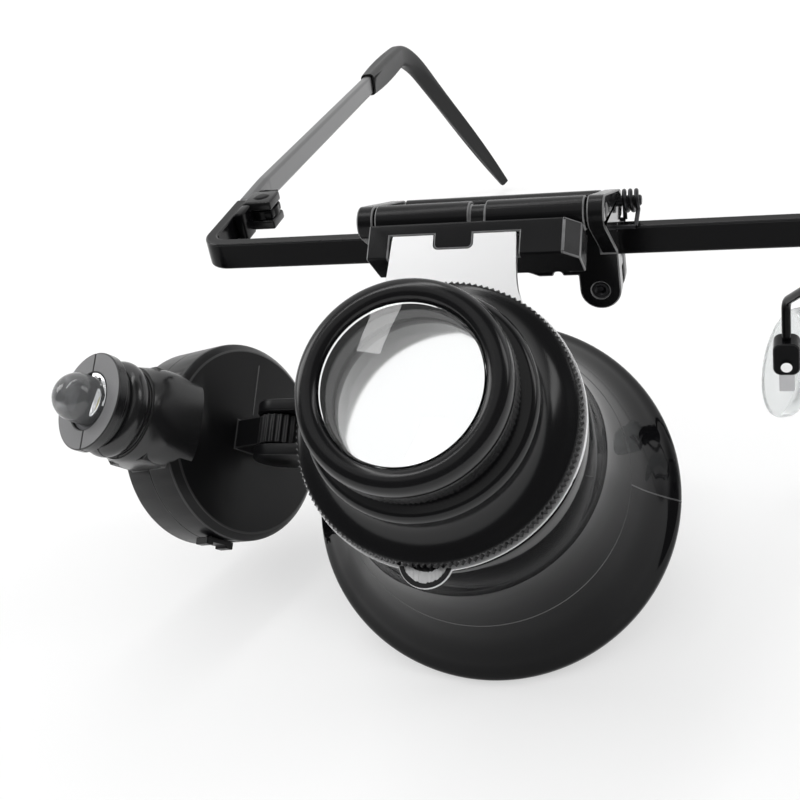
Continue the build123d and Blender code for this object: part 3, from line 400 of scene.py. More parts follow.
LAMP_TUBE = Surface(
    "lamp_tube_black", (0.009, 0.009, 0.0095), 0.24, spread=0.12, bump=0.003, grain=3200.0, patch=240.0, specular=0.6
)
# Painted highlight: lighter colour on the rounded edges of the lamp case
LAMP_EDGE_HIGHLIGHT = Surface(
    "lamp_soft_edge", (0.016, 0.016, 0.0165), 0.36, spread=0.16, tone=0.8,
    bump=0.006, grain=4200.0, patch=700.0, specular=0.5
)
LAMP_FACE = Surface(
    "lamp_face_grey", (0.16, 0.16, 0.163), 0.5, spread=0.1, bump=0.006, grain=4200.0, patch=300.0, specular=0.4
)
FRAME_PAINT = Surface(
    "frame_black_paint", (0.003, 0.003, 0.0034), 0.16, spread=0.10, bump=0.002, grain=2000.0, specular=0.09
)
# Painted highlight: lighter black on the rounded edges of the bar and pad boxes, and over the whole hinge cheeks
FRAME_EDGE_HIGHLIGHT = Surface(
    "frame_rubbed_edge", (0.010, 0.010, 0.0105), 0.26, spread=0.14, tone=0.8, bump=0.003, grain=3000.0, specular=0.3
)
TEMPLE_PAINT = Surface(
    "temple_dark_plating", (0.15, 0.15, 0.152), 0.3, spread=0.10, bump=0.002, grain=2000.0, metallic=1.0
)
SLEEVE_SOFT = Surface(
    "ear_sleeve_black", (0.012, 0.012, 0.0125), 0.42, spread=0.1, bump=0.006, grain=3600.0, specular=0.3
)
BRACKET_METAL = Surface(
    "bracket_satin_steel", (0.80, 0.80, 0.805), 0.42, spread=0.08, tone=0.05, bump=0.003, grain=3200.0,
    metallic=1.0, stretch=0.12
)
HAMMERED_METAL = Surface(
    "bracket_hammered_steel", (0.86, 0.86, 0.865), 0.4, spread=0.2, tone=0.5, bump=0.03, grain=6500.0, metallic=1.0
)
PIN_METAL = Surface("pin_steel", (0.52, 0.52, 0.53), 0.28, spread=0.12, bump=0.002, metallic=1.0)
DARK_METAL = Surface("dark_pin_steel", (0.05, 0.05, 0.053), 0.38, spread=0.12, bump=0.002, metallic=1.0)
BRIGHT_METAL = Surface("bright_sleeve", (0.90, 0.90, 0.90), 0.16, spread=0.1, tone=0.05, bump=0.001, metallic=1.0)
BRASS_PLATE = Surface("contact_brass", (0.66, 0.50, 0.26), 0.3, metallic=1.0)
CELL_METAL = Surface("cell_steel", (0.66, 0.66, 0.67), 0.26, metallic=1.0)
LENS_MOUNT_MATTE = Surface("lens_mount_matte", (0.010, 0.010, 0.010), 0.55, specular=0.3)
PHOSPHOR = Surface("led_phosphor", (0.72, 0.66, 0.30), 0.5, grain=6000.0, bump=0.01)
LENS_GLASS = Clear("lens_clear_glass", (0.985, 0.99, 0.99), 0.0, 1.50, spread=0.012)
REAR_GLASS = Clear("rear_lens_glass", (0.985, 0.99, 0.99), 0.10, 1.50, spread=0.012)
LED_RESIN = Clear("led_clear_resin", (0.60, 0.61, 0.62), 0.10, 1.50, spread=0.08, scatter=0.12)
PAD_SILICONE = Clear("nose_pad_silicone", (0.92, 0.94, 0.94), 0.12, 1.41, spread=0.08, scatter=0.25)


# Mesh tools


def new_piece(
    name: str,
    shape: BMesh,
    place: Matrix,
    finish: Surface | Clear,
    body: Body,
    smooth: float = 35.0,
) -> bpy.types.Object:
    """Turns a finished bmesh into a piece of the object.

    Args:
        name: Piece name.
        shape: Mesh in its own millimetres; it is freed here.
        place: Matrix into the frame.
        finish: Finish of the whole piece.
        body: Body that it rides on.
        smooth: Edges sharper than this angle in degrees stay sharp.

    Returns:
        The new object.
    """
    bmesh.ops.transform(shape, matrix=place, verts=shape.verts)
    mesh = bpy.data.meshes.new(name)
    shape.to_mesh(mesh)
    shape.free()
    mesh.materials.append(finish.material())
    mesh.shade_smooth()
    mesh.set_sharp_from_angle(angle=math.radians(smooth))
    piece = bpy.data.objects.new(name, mesh)
    bpy.context.scene.collection.objects.link(piece)
    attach(piece, body.value)
    LOG.info("piece %s: %d faces", name, len(mesh.polygons))
    return piece


def grown(shape: BMesh, edges: list[BMEdge]) -> tuple[list[BMVert], list[BMEdge]]:
    """Extrudes a row of edges in place.

    Args:
        shape: Mesh of the edges.
        edges: The row.

    Returns:
        The new points and the new row of edges between them.
    """
    made = bmesh.ops.extrude_edge_only(shape, edges=edges)["geom"]
    verts = [g for g in made if isinstance(g, BMVert)]
    fresh = set(verts)
    return verts, [g for g in made if isinstance(g, BMEdge) and set(g.verts) <= fresh]


def corner_line(shape: BMesh, profile: Profile, closed: bool = False, segments: int = 6) -> None:
    """Draws a profile of edges in the XZ plane and rounds its corners with the bevel operator.

    Args:
        shape: Mesh that gets the line.
        profile: Radius, distance and corner rounding of each point.
        closed: Whether the last point joins the first.
        segments: Steps in each rounded corner.
    """
    points = [shape.verts.new((radius, 0.0, along)) for radius, along, _ in profile]
    ends = points[1:] + points[:1] if closed else points[1:]
    for one, two in zip(points, ends):
        shape.edges.new((one, two))
    for point, (_, _, rounding) in zip(points, profile):
        if rounding > 0.0:
            bmesh.ops.bevel(
                shape,
                geom=[point],
                offset=rounding,
                offset_type="OFFSET",
                segments=segments,
                profile=0.5,
                affect="VERTICES",
                material=-1,
            )


def turned(profile: Profile, closed: bool = True, steps: int = 160, segments: int = 6) -> BMesh:
    """Spins a profile once round Z.

    Args:
        profile: Radius, distance and corner rounding of each point.
        closed: Whether the profile is a closed line.
        steps: Steps of the spin.
        segments: Steps in each rounded corner.

    Returns:
        The turned mesh with outward normals.
    """
    shape = bmesh.new()
    corner_line(shape, profile, closed, segments)
    line = shape.verts[:] + shape.edges[:]
    bmesh.ops.spin(
        shape, geom=line, cent=(0, 0, 0), axis=(0, 0, 1), angle=math.tau, steps=steps, use_merge=True
    )
    bmesh.ops.remove_doubles(shape, verts=shape.verts, dist=1e-4)
    bmesh.ops.recalc_face_normals(shape, faces=shape.faces)
    return shape


def swept(profile: Profile, start: float, angle: float, steps: int) -> BMesh:
    """Spins an open profile a part of the way round Z.

    Args:
        profile: Radius, distance and corner rounding of each point.
        start: Angle at which it starts.
        angle: Angle that it sweeps.
        steps: Steps of the spin.

    Returns:
        The swept strip, still without thickness.
    """
    shape = bmesh.new()
    corner_line(shape, profile)
    line = shape.verts[:] + shape.edges[:]
    bmesh.ops.spin(shape, geom=line, cent=(0, 0, 0), axis=(0, 0, 1), angle=angle, steps=steps)
    bmesh.ops.rotate(shape, cent=(0, 0, 0), matrix=Matrix.Rotation(start, 3, "Z"), verts=shape.verts)
    return shape


def toothed_ring(
    count: int, radius: float, depth: float, inner: float, start: float, end: float, edge: float
) -> BMesh:
    """Ring with pointed teeth round its outside.

    Args:
        count: Number of teeth.
        radius: Radius at the tips.
        depth: Depth between the teeth.
        inner: Radius of the bore.
        start: Front of the ring.
        end: Back of the ring.
        edge: How far the tips are worn back at both faces.

    Returns:
        The ring's mesh.
    """
    shape = bmesh.new()
    loop = bmesh.ops.create_circle(shape, cap_ends=False, segments=count * 2, radius=radius - depth)["verts"]
    tips = [v for v in loop if round((math.atan2(v.co.y, v.co.x) / math.tau) * count * 2) % 2 == 0]
    factor = radius / (radius - depth)
    worn = 1.0 + (factor - 1.0) * WORN_TIP
    edges = shape.edges[:]
    for vert in loop:
        vert.co.z = start
    bmesh.ops.scale(shape, vec=(worn, worn, 1.0), verts=tips)
    current = edges
    for along, share in ((start + edge, factor / worn), (end - edge, 1.0), (end, worn / factor)):
        verts, current = grown(shape, current)
        for vert in verts:
            vert.co.z = along
        raised = [v for v in verts if v.co.xy.length > radius - depth * 0.98]
        bmesh.ops.scale(shape, vec=(share, share, 1.0), verts=raised)
    for rim in (edges, current):
        for vert in grown(shape, rim)[0]:
            vert.co.xy = vert.co.xy.normalized() * inner
    bmesh.ops.recalc_face_normals(shape, faces=shape.faces)
    return shape


def rounded_block(low: Vector, high: Vector, rounding: float) -> BMesh:
    """Block with rounded edges between two corners.

    Args:
        low: Lowest corner.
        high: Highest corner.
        rounding: Radius of its edges.

    Returns:
        The block's mesh.
    """
    shape = bmesh.new()
    bmesh.ops.create_cube(shape, size=1.0)
    bmesh.ops.scale(shape, vec=high - low, verts=shape.verts)
    bmesh.ops.translate(shape, vec=(low + high) / 2, verts=shape.verts)
    bmesh.ops.bevel(
        shape, geom=shape.edges[:], offset=rounding, segments=4, profile=0.5, affect="EDGES", material=-1
    )
    return shape


def curve_points(start: Spot, lean_out: Spot, lean_in: Spot, end: Spot, count: int) -> Profile:
    """Points of one smooth bend in a profile.

    Args:
        start: First point.
        lean_out: Handle of the first point.
        lean_in: Handle of the last point.
        end: Last point.
        count: Number of points.

    Returns:
        Profile points without corner rounding.
    """
    corners = [Vector((*point, 0.0)) for point in (start, lean_out, lean_in, end)]
    return [(p.x, p.y, 0.0) for p in geometry.interpolate_bezier(*corners, count)]


def line_through(points: list[Spot], first: Vector, last: Vector, steps: int) -> Profile:
    """Draws one smooth line through the given points of a profile.

    Args:
        points: Radius and distance of each point.
        first: Direction of the line at its first point.
        last: Direction of the line at its last point.
        steps: Steps between two points.

    Returns:
        Profile points without corner rounding.
    """
    spots = [Vector(point) for point in points]
    leans = [(after - before) / 2 for before, after in zip(spots, spots[2:])]
    leans.insert(0, first.normalized() * (spots[1] - spots[0]).length)
    leans.append(last.normalized() * (spots[-1] - spots[-2]).length)
    line: Profile = []
    for index in range(len(spots) - 1):
        one, two = spots[index], spots[index + 1]
        handles = (one, one + leans[index] / 3, two - leans[index + 1] / 3, two)
        bend = geometry.interpolate_bezier(*(handle.to_3d() for handle in handles), steps)
        line += [(p.x, p.y, 0.0) for p in (bend if index == 0 else bend[1:])]
    return line


def weigh_edges(shape: BMesh, angle: float, slim: float = 12.0) -> None:
    """Marks the sharp edges for rounding, apart from those that meet another edge at a slim corner.

    Args:
        shape: The mesh.
        angle: Edges sharper than this angle in degrees are marked.
        slim: Smallest corner in degrees between two edges.
    """
    weight = shape.edges.layers.float.new("bevel_weight_edge")
    closest = math.cos(math.radians(slim))
    for edge in shape.edges:
        if edge.calc_face_angle(0.0) <= math.radians(angle):
            continue
        edge[weight] = 1.0
        for vert in edge.verts:
            along = (edge.other_vert(vert).co - vert.co).normalized()
            others = [(e.other_vert(vert).co - vert.co).normalized() for e in vert.link_edges if e is not edge]
            if any(along.dot(other) > closest for other in others):
                edge[weight] = 0.0


def softened(
    frame: dict,
    node: str,
    finish: Surface | Clear,
    body: Body,
    width: float,
    segments: int = 2,
    angle: float = 32.0,
    edge: Surface | None = None,
) -> bpy.types.Object:
    """Copy of a CAD node with its edges rounded, standing for that node.

    Args:
        node: CAD node's name.
        finish: Finish of the copy.
        body: Body that it rides on.
        width: Width of the rounding in millimetres.
        segments: Steps of the rounding.
        angle: Edges sharper than this angle in degrees are rounded.
        edge: Finish of the rounded edges, where it differs; a lighter one paints a highlight on them.

    Returns:
        The copy.
    """
    shape = bmesh.new()
    shape.from_mesh(frame["nodes"][node].data)
    bmesh.ops.remove_doubles(shape, verts=shape.verts, dist=2e-6)
    flat = math.radians(0.6)
    bmesh.ops.dissolve_limit(shape, angle_limit=flat, verts=shape.verts, edges=shape.edges, delimit={"NORMAL"})
    weigh_edges(shape, angle)
    piece = new_piece(f"{node}_finished", shape, Matrix.Identity(4), finish, body, angle)
    bevel = piece.modifiers.new("edge_rounding", "BEVEL")
    bevel.width = width * MM
    bevel.segments = segments
    bevel.limit_method = "WEIGHT"
    bevel.harden_normals = True
    bevel.use_clamp_overlap = edge is None
    # A lighter edge finish paints a highlight on the rounded edges
    if edge is not None:
        piece.data.materials.append(edge.material())
        bevel.material = 1
    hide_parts(node)
    return piece


def finish_node(frame: dict, node: str, finish: Surface | Clear) -> None:
    """Gives a carried-over CAD node its material.

    Args:
        node: CAD node's name.
        finish: Its finish.
    """
    mesh = frame["nodes"][node].data
    mesh.materials.clear()
    mesh.materials.append(finish.material())
    LOG.info("node %s: %s", node, finish.name)


# Sub-assemblies


@dataclass
class SpectacleFrame:
    """Front bar, hinges, temples, ear sleeves and what holds the nose pads.

    Args:
        edge: Rounding of the bar, in millimetres, as every size here.
        knuckle: Radius of a hinge's knuckle.
        knuckle_half: Half the height of the temple's knuckle.
        hinge_half: Half the height of a hinge.
        gap_half: Half the height between its cheeks.
        short: How much shorter the cheeks are than the knuckle.
        leaf: Thickness of the leaf that joins the cheeks.
        rounding: Rounding of the leaf and the temple's knuckle.
        shank: Radius of the screw.
        head: Radius of the screw's head.
    """

    frame: dict
    edge: float = 0.22
    knuckle: float = 1.6
    knuckle_half: float = 0.53
    hinge_half: float = 1.6
    gap_half: float = 0.56
    short: float = 0.08
    leaf: float = 1.1
    rounding: float = 0.3
    shank: float = 0.65
    head: float = 0.95

    def build(self) -> None:
        """Rounds and paints the frame's pieces."""
        # The bar's rounded edges get a lighter colour: painted highlight
        softened(self.frame, "front_bar", FRAME_PAINT, Body.FRAME, self.edge, 3, edge=FRAME_EDGE_HIGHLIGHT)
        for side, temple, pad in (
            ("left", Body.TEMPLE_LEFT, Body.PAD_LEFT),
            ("right", Body.TEMPLE_RIGHT, Body.PAD_RIGHT),
        ):
            self._temple(side, temple)
            softened(self.frame, f"pad_box_{side}", FRAME_PAINT, Body.FRAME, 0.15, edge=FRAME_EDGE_HIGHLIGHT)
            finish_node(self.frame, f"pad_arm_{side}", FRAME_PAINT)
            finish_node(self.frame, f"pad_stem_{side}", PIN_METAL)
            softened(self.frame, f"nose_pad_{side}", PAD_SILICONE, pad, 0.12)
        finish_node(self.frame, "pad_screws", BRIGHT_METAL)

    def _temple(self, side: str, body: Body) -> None:
        """Finishes one hinge, temple and ear sleeve.

        Args:
            side: Left or right, as the nodes are named.
            body: Body of that temple.
        """
        self._hinge(side, body)
        softened(self.frame, f"hinge_tongue_{side}", FRAME_PAINT, body, 0.1)
        softened(self.frame, f"temple_{side}", TEMPLE_PAINT, body, 0.4, 4)
        softened(self.frame, f"ear_sleeve_{side}", SLEEVE_SOFT, body, 0.2)

    def _hinge(self, side: str, temple: Body) -> None:
        """Builds the two cheeks of a hinge, its leaf, the temple's knuckle between them and the screw.

        Args:
            side: Left or right, as the nodes are named.
            temple: Body of the temple.
        """
        low, high = (Vector(corner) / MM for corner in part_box(f"hinge_fork_{side}"))
        inward = 1.0 if low.x < 0 else -1.0
        wall = low.x if inward > 0 else high.x
        pin = Vector((wall + inward * self.knuckle, high.y - self.knuckle, 0.0))
        millimetres = Matrix.Scale(MM, 4)
        half, gap, reach = self.hinge_half, self.gap_half, 2 * self.knuckle - self.short
        cheek = (0.0, reach, pin.y - self.knuckle - 0.02, high.y - 0.1)
        leaf = (0.0, self.leaf, low.y, pin.y - self.knuckle - 0.35)
        knuckle = (self.knuckle - 1.3, self.knuckle + 1.45, pin.y - 1.5, pin.y + 1.4)
        # The cheeks are wholly in the lighter edge colour: painted highlight
        blocks = (
            ("cheek_upper", FRAME_EDGE_HIGHLIGHT, Body.FRAME, cheek, (gap, half), 0.25),
            ("cheek_lower", FRAME_EDGE_HIGHLIGHT, Body.FRAME, cheek, (-half, -gap), 0.25),
            ("leaf", FRAME_PAINT, Body.FRAME, leaf, (-half, half), self.rounding),
            ("knuckle", FRAME_PAINT, temple, knuckle, (-self.knuckle_half, self.knuckle_half), self.rounding),
        )
        for name, finish, body, (near, far, front, back), (under, over), rounding in blocks:
            ends = sorted((wall + inward * near, wall + inward * far))
            shape = rounded_block(Vector((ends[0], front, under)), Vector((ends[1], back, over)), rounding)
            title = f"hinge_{name}_{side}"
            piece = new_piece(title, shape, millimetres, finish, body, BLOCK_SMOOTH)
            if body is Body.FRAME:
                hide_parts(f"hinge_fork_{side}")
        outline: Profile = [
            (0.0, -half, 0.0),
            (self.shank, -half, 0.1),
            (self.shank, half - 0.1, 0.0),
            (self.head, half - 0.02, 0.05),
            (self.head - 0.35, half + 0.1, 0.1),
            (0.0, half + 0.13, 0.0),
        ]
        shape = turned(outline, closed=False, steps=48)
        place = millimetres @ Matrix.Translation(pin)
        screw = new_piece(f"hinge_screw_{side}_dressed", shape, place, FRAME_PAINT, Body.FRAME)
        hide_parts(f"hinge_screw_{side}")


@dataclass
class ClipAndJaw:
    """Clip on the bar, its pins, its jaw and the holder block.

    Args:
        edge: Rounding of the edges.
        wall_top: Top of the wall behind the tubes in the CAD model.
        wall_seen: Top of that wall in the finished model.
        wall_back: Where that wall ends to the rear.
        side_from: Where the right cheek starts.
    """

    frame: dict
    edge: float = 0.14
    wall_top: float = 4.0
    wall_seen: float = 3.2
    wall_back: float = 0.3
    side_from: float = -25.5

    def build(self) -> None:
        """Rounds and finishes the clip's pieces."""
        for node, body in (("clip_body", Body.CLIP), ("rear_jaw", Body.JAW), ("plate_holder", Body.LOUPE)):
            # Their rounded edges get the lighter colour of a painted highlight
            piece = softened(self.frame, node, CLIP_MOULDED, body, self.edge, 3, edge=CLIP_EDGE_HIGHLIGHT)
            if node == "clip_body":
                self._lower_wall(piece.data)
                self._side_finish(piece.data)
        for node in ("flip_pin", "jaw_pin", "stop_screw", "jaw_spring"):
            finish_node(self.frame, node, DARK_METAL)

    def _side_finish(self, mesh: Mesh) -> None:
        """Gives the side of the right cheek its higher gloss.

        Args:
            mesh: Mesh of the copied clip.
        """
        mesh.materials.append(CLIP_SIDE.material())
        for face in mesh.polygons:
            if face.normal.x > 0.95 and face.center.x > self.side_from * MM:
                face.material_index = 2

    def _lower_wall(self, mesh: Mesh) -> None:
        """Lowers the top of the wall behind the tubes, between the cheeks.

        Args:
            mesh: Mesh of the copied clip.
        """
        for vert in mesh.vertices:
            if abs(vert.co.z - self.wall_top * MM) < 0.02 * MM and vert.co.y < self.wall_back * MM:
                vert.co.z = self.wall_seen * MM


@dataclass
class LensBarrel:
    """Turned barrel with its ribbed band and toothed flange, and the lenses in it.

    Args:
        aperture: Radius of the front opening.
        rim: Radius of the front rim.
        ribs: Number of ribs on the band.
        teeth: Number of teeth on the flange.
        flange: Radius of the flange at its teeth.
        seat: Where the flange meets the bracket.
        dome: Radius of the domed part of a lens.
        lens: Radius of a lens.
        lens_edge: Thickness of a lens at its edge.
    """

    frame: dict
    aperture: float = 6.62
    rim: float = 8.65
    ribs: int = 120
    teeth: int = 144
    flange: float = 12.2
    seat: float = 11.2
    dome: float = 6.52
    lens: float = 7.1
    lens_edge: float = 1.6

    def build(self) -> None:
        """Builds the barrel, its ribs and teeth, and the lens stack."""
        place = loupe_matrix()
        barrel = turned(self._profile(), steps=192, segments=5)
        barrel = new_piece("lens_barrel_turned", barrel, place, BARREL_BLACK, Body.LOUPE)
        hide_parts("lens_barrel")
        ribs = toothed_ring(self.ribs, self.rim - 0.02, 0.15, self.rim - 0.5, 2.02, 3.88, 0.12)
        new_piece("barrel_ribbed_band", ribs, place, LAMP_TUBE, Body.LOUPE, TOOTH_SMOOTH)
        teeth = toothed_ring(self.teeth, self.flange, 0.28, self.flange - 0.6, 10.0, self.seat, 0.18)
        new_piece("barrel_flange_teeth", teeth, place, BARREL_BLACK, Body.LOUPE, TOOTH_SMOOTH)
        self._lens("front_lens", 1.2, 0.42, 0.25, 0.62)
        self._lens("rear_lens", 5.1, 0.25, 0.3, finish=REAR_GLASS)
        for node in ("lens_spacer", "lens_ring"):
            finish_node(self.frame, node, LENS_MOUNT_MATTE)

    def _profile(self) -> Profile:
        """Section of the barrel, with its front rim as one rounded ring.

        Returns:
            Profile points.
        """
        middle = (self.aperture + self.rim) / 2 - 0.05
        crown = [
            (self.aperture, 0.75),
            (self.aperture + 0.28, 0.22),
            (middle, 0.005),
            (self.rim - 0.28, 0.34),
            (self.rim, 1.15),
        ]
        shell: Profile = [(self.aperture, 0.98, 0.0)]
        shell += line_through(crown, Vector((0.15, -1)), Vector((0.1, 1)), 7)
        shell += [
            (self.rim, 1.46, 0.04),
            (self.rim - 0.2, 1.5, 0.04),
            (self.rim - 0.2, 1.72, 0.04),
            (self.rim - 0.02, 1.77, 0.05),
            (self.rim - 0.02, 2.0, 0.04),
            (self.rim - 0.22, 2.05, 0.03),
            (self.rim - 0.22, 3.9, 0.05),
            (8.06, 4.0, 0.12),
            (8.06, 4.85, 0.2),
            (9.35, 5.0, 0.3),
            (9.68, 5.5, 0.3),
            (9.68, 6.6, 0.35),
            (9.3, 7.2, 0.2),
        ]
        shell += curve_points((9.25, 7.4), (9.3, 8.7), (10.3, 9.6), (11.5, 9.85), 10)
        shell += [
            (11.9, 10.02, 0.05),
            (11.9, self.seat, 0.0),
            (10.3, self.seat, 0.05),
            (10.3, 15.2, 0.15),
            (7.15, 15.2, 0.15),
            (7.15, 1.2, 0.0),
            (self.aperture, 1.2, 0.1),
        ]
        return shell

    def _lens(
        self, node: str, start: float, front: float, back: float, step: float = 0.0, finish: Clear = LENS_GLASS
    ) -> None:
        """Builds one smooth lens.

        Args:
            node: CAD node that it stands for.
            start: Front of its edge.
            front: Rise of its front face.
            back: Rise of its back face.
            step: Height of the step that fills the rim's opening.
            finish: Its glass.
        """
        end = start + self.lens_edge
        outline: Profile = [(0.0, start - step - front, 0.0)]
        outline += self._arc(self.dome, start - step, -front)
        outline += [(self.dome, start - 0.02, 0.0)] if step > 0.0 else []
        outline += [(self.lens, start, 0.08), (self.lens, end, 0.08)]
        outline += reversed(self._arc(self.dome - 0.17, end, back))
        outline += [(0.0, end + back, 0.0)]
        shape = turned(outline, closed=False, steps=128)
        lens = new_piece(f"{node}_ground", shape, loupe_matrix(), finish, Body.LOUPE, 25.0)
        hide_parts(node)

    @staticmethod
    def _arc(radius: float, edge: float, sag: float, count: int = 14) -> Profile:
        """Points of a lens face from near its middle to its edge.

        Args:
            radius: Radius of the face.
            edge: Place of its edge along the loupe.
            sag: Rise of its middle, negative to the front.
            count: Number of points.

        Returns:
            Profile points.
        """
        bow = (radius * radius + sag * sag) / (2 * abs(sag))
        sign = math.copysign(1.0, sag)
        radii = [radius * (i + 1) / count for i in range(count)]
        return [(r, edge + sag - sign * (bow - math.sqrt(bow * bow - r * r)), 0.0) for r in radii]


@dataclass
class EyeCup:
    """Eye cup with its neck, its leaning flare and the lamp's fork.

    Args:
        neck: Radius of the neck.
        neck_end: Where the neck starts to widen.
        mouth: Radius of the mouth.
        length: Where the mouth ends.
        wall: Thickness of the neck.
        rim_wall: Thickness of the mouth's rim.
        rim_length: Length of the mouth's rim.
        ridge_at: Where the mould's ridge goes round the cup.
        knee: Where the cup starts to lean.
        lean: Angle of the lean.
        lug: Radius of a lug's free end.
        lug_reach: Length of a lug from the pin towards the cup.
        lug_flare: How much wider a lug is at its root.
        lug_sheet: Thickness of a lug.
    """

    frame: dict
    neck: float = 12.05
    neck_end: float = 21.9
    mouth: float = 18.35
    length: float = 37.6
    wall: float = 1.25
    rim_wall: float = 0.9
    rim_length: float = 0.8
    ridge_at: float = 30.2
    knee: float = 15.4
    lean: float = math.radians(2.8)
    lug: float = 2.7
    lug_reach: float = 8.6
    lug_flare: float = 1.28
    lug_sheet: float = 1.3

    def build(self) -> None:
        """Builds the cup's shell, the two lugs of the fork and the mould lines."""
        cup = turned(self._profile(), steps=224, segments=5)
        self._lean_over(cup)
        shell = new_piece("eye_cup_turned", cup, loupe_matrix(), LOUPE_GLOSS, Body.LOUPE, 40.0)
        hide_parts("eye_cup")
        for name, low in (("lamp_lug_upper", 1.75), ("lamp_lug_lower", -3.05)):
            self._lug(name, low)
        finish_node(self.frame, "lamp_hinge_screw", DARK_METAL)
        self._mould_lines()

    def _mould_lines(self) -> None:
        """Builds the fine ridges of the cup's mould: one round it, two down its sides, in a lighter colour that
        paints a highlight on them.
        """
        wall = self._wall(self.neck, self.mouth, self.neck_end, self.length - self.rim_length)
        below = [point for point in wall if point[1] > self.ridge_at]
        radius, along, _ = below[0]
        ridge: Profile = [(radius - 0.06, along - 0.1, 0.0), (radius + 0.045, along, 0.0), (radius, along + 0.1, 0.0)]
        self._mould_line("cup_mould_ring", turned(ridge, steps=192))
        proud: Profile = [(point[0] + 0.035, point[1], 0.0) for point in below]
        for name, side in (("cup_parting_line_left", math.pi), ("cup_parting_line_right", 0.0)):
            line = swept(proud, side, math.radians(0.5), 2)
            bmesh.ops.recalc_face_normals(line, faces=line.faces)
            bmesh.ops.solidify(line, geom=line.faces[:], thickness=0.05)
            self._mould_line(name, line)

    def _mould_line(self, name: str, line: BMesh) -> None:
        """Leans a mould line with the cup and makes it a piece.

        Args:
            name: Piece name.
            line: The line on the straight cup.
        """
        self._lean_over(line)
        new_piece(name, line, loupe_matrix(), MOULD_LINE_HIGHLIGHT, Body.LOUPE, LINE_SMOOTH)

    def _wall(self, start: float, end: float, first: float, last: float) -> Profile:
        """Line of a wall that widens towards the mouth.

        Args:
            start: Radius where it starts to widen.
            end: Radius at its end.
            first: Distance where it starts to widen.
            last: Distance of its end.

        Returns:
            Profile points.
        """
        shares = ((0.0, 0.0), (0.13, 0.36), (0.46, 0.70), (0.80, 0.90), (1.0, 1.0))
        points = [(start + (end - start) * wide, first + (last - first) * along) for wide, along in shares]
        return line_through(points, Vector((0, 1)), Vector((0.25, 1)), 11)

    def _profile(self) -> Profile:
        """Section of the straight cup before it leans.

        Returns:
            Profile points.
        """
        outline: Profile = [(10.35, 11.8, 0.0), (11.7, 11.8, 0.1), (11.7, 13.1, 0.05), (self.neck, 13.1, 0.15)]
        outline += [(self.neck, 14.2 + i * 1.1, 0.0) for i in range(7)]
        outline += self._wall(self.neck, self.mouth, self.neck_end, self.length - self.rim_length)
        outline += [(self.mouth, self.length, 0.25), (self.mouth - self.rim_wall, self.length, 0.3)]
        inside = self._wall(
            self.neck - self.wall, self.mouth - self.rim_wall, self.neck_end + self.rim_length, self.length - 0.35
        )
        outline += reversed(inside)
        outline += [(self.neck - self.wall, self.knee + 6.0 - i * 1.5, 0.0) for i in range(4)]
        outline += [(self.neck - self.wall, self.knee, 0.05), (10.35, self.knee, 0.05)]
        return outline

    def _lean_over(self, cup: BMesh) -> None:
        """Turns everything behind the knee towards the lamp.

        Args:
            cup: The straight cup.
        """
        knee = Vector((0, 0, self.knee))
        behind = [v for v in cup.verts if v.co.z > self.knee + 0.01]
        bmesh.ops.rotate(cup, cent=knee, matrix=Matrix.Rotation(-self.lean, 3, "Y"), verts=behind)

    def _lug(self, name: str, low: float) -> None:
        """Builds one lug with a rounded free end.

        Args:
            name: Piece name.
            low: Its lower face above the middle of the pin.
        """
        shape = bmesh.new()
        bmesh.ops.create_circle(shape, cap_ends=True, segments=64, radius=self.lug)
        root = [v for v in shape.verts if v.co.x > 0.01]
        for vert in root:
            vert.co.x += self.lug_reach
            vert.co.y *= self.lug_flare
        lifted = bmesh.ops.extrude_face_region(shape, geom=shape.faces[:])["geom"]
        raised = [g for g in lifted if isinstance(g, BMVert)]
        bmesh.ops.translate(shape, vec=(0, 0, self.lug_sheet), verts=raised)
        bmesh.ops.translate(shape, vec=(0, 0, low), verts=shape.verts)
        bmesh.ops.recalc_face_normals(shape, faces=shape.faces)
        level = [e for e in shape.edges if abs(e.verts[0].co.z - e.verts[1].co.z) < 1e-5]
        rims = [e for e in level if e.calc_face_angle(0.0) > 1.0]
        bmesh.ops.bevel(shape, geom=rims, offset=0.22, segments=3, profile=0.5, affect="EDGES", material=-1)
        new_piece(name, shape, knuckle_matrix(), LAMP_MOULDED, Body.LOUPE)


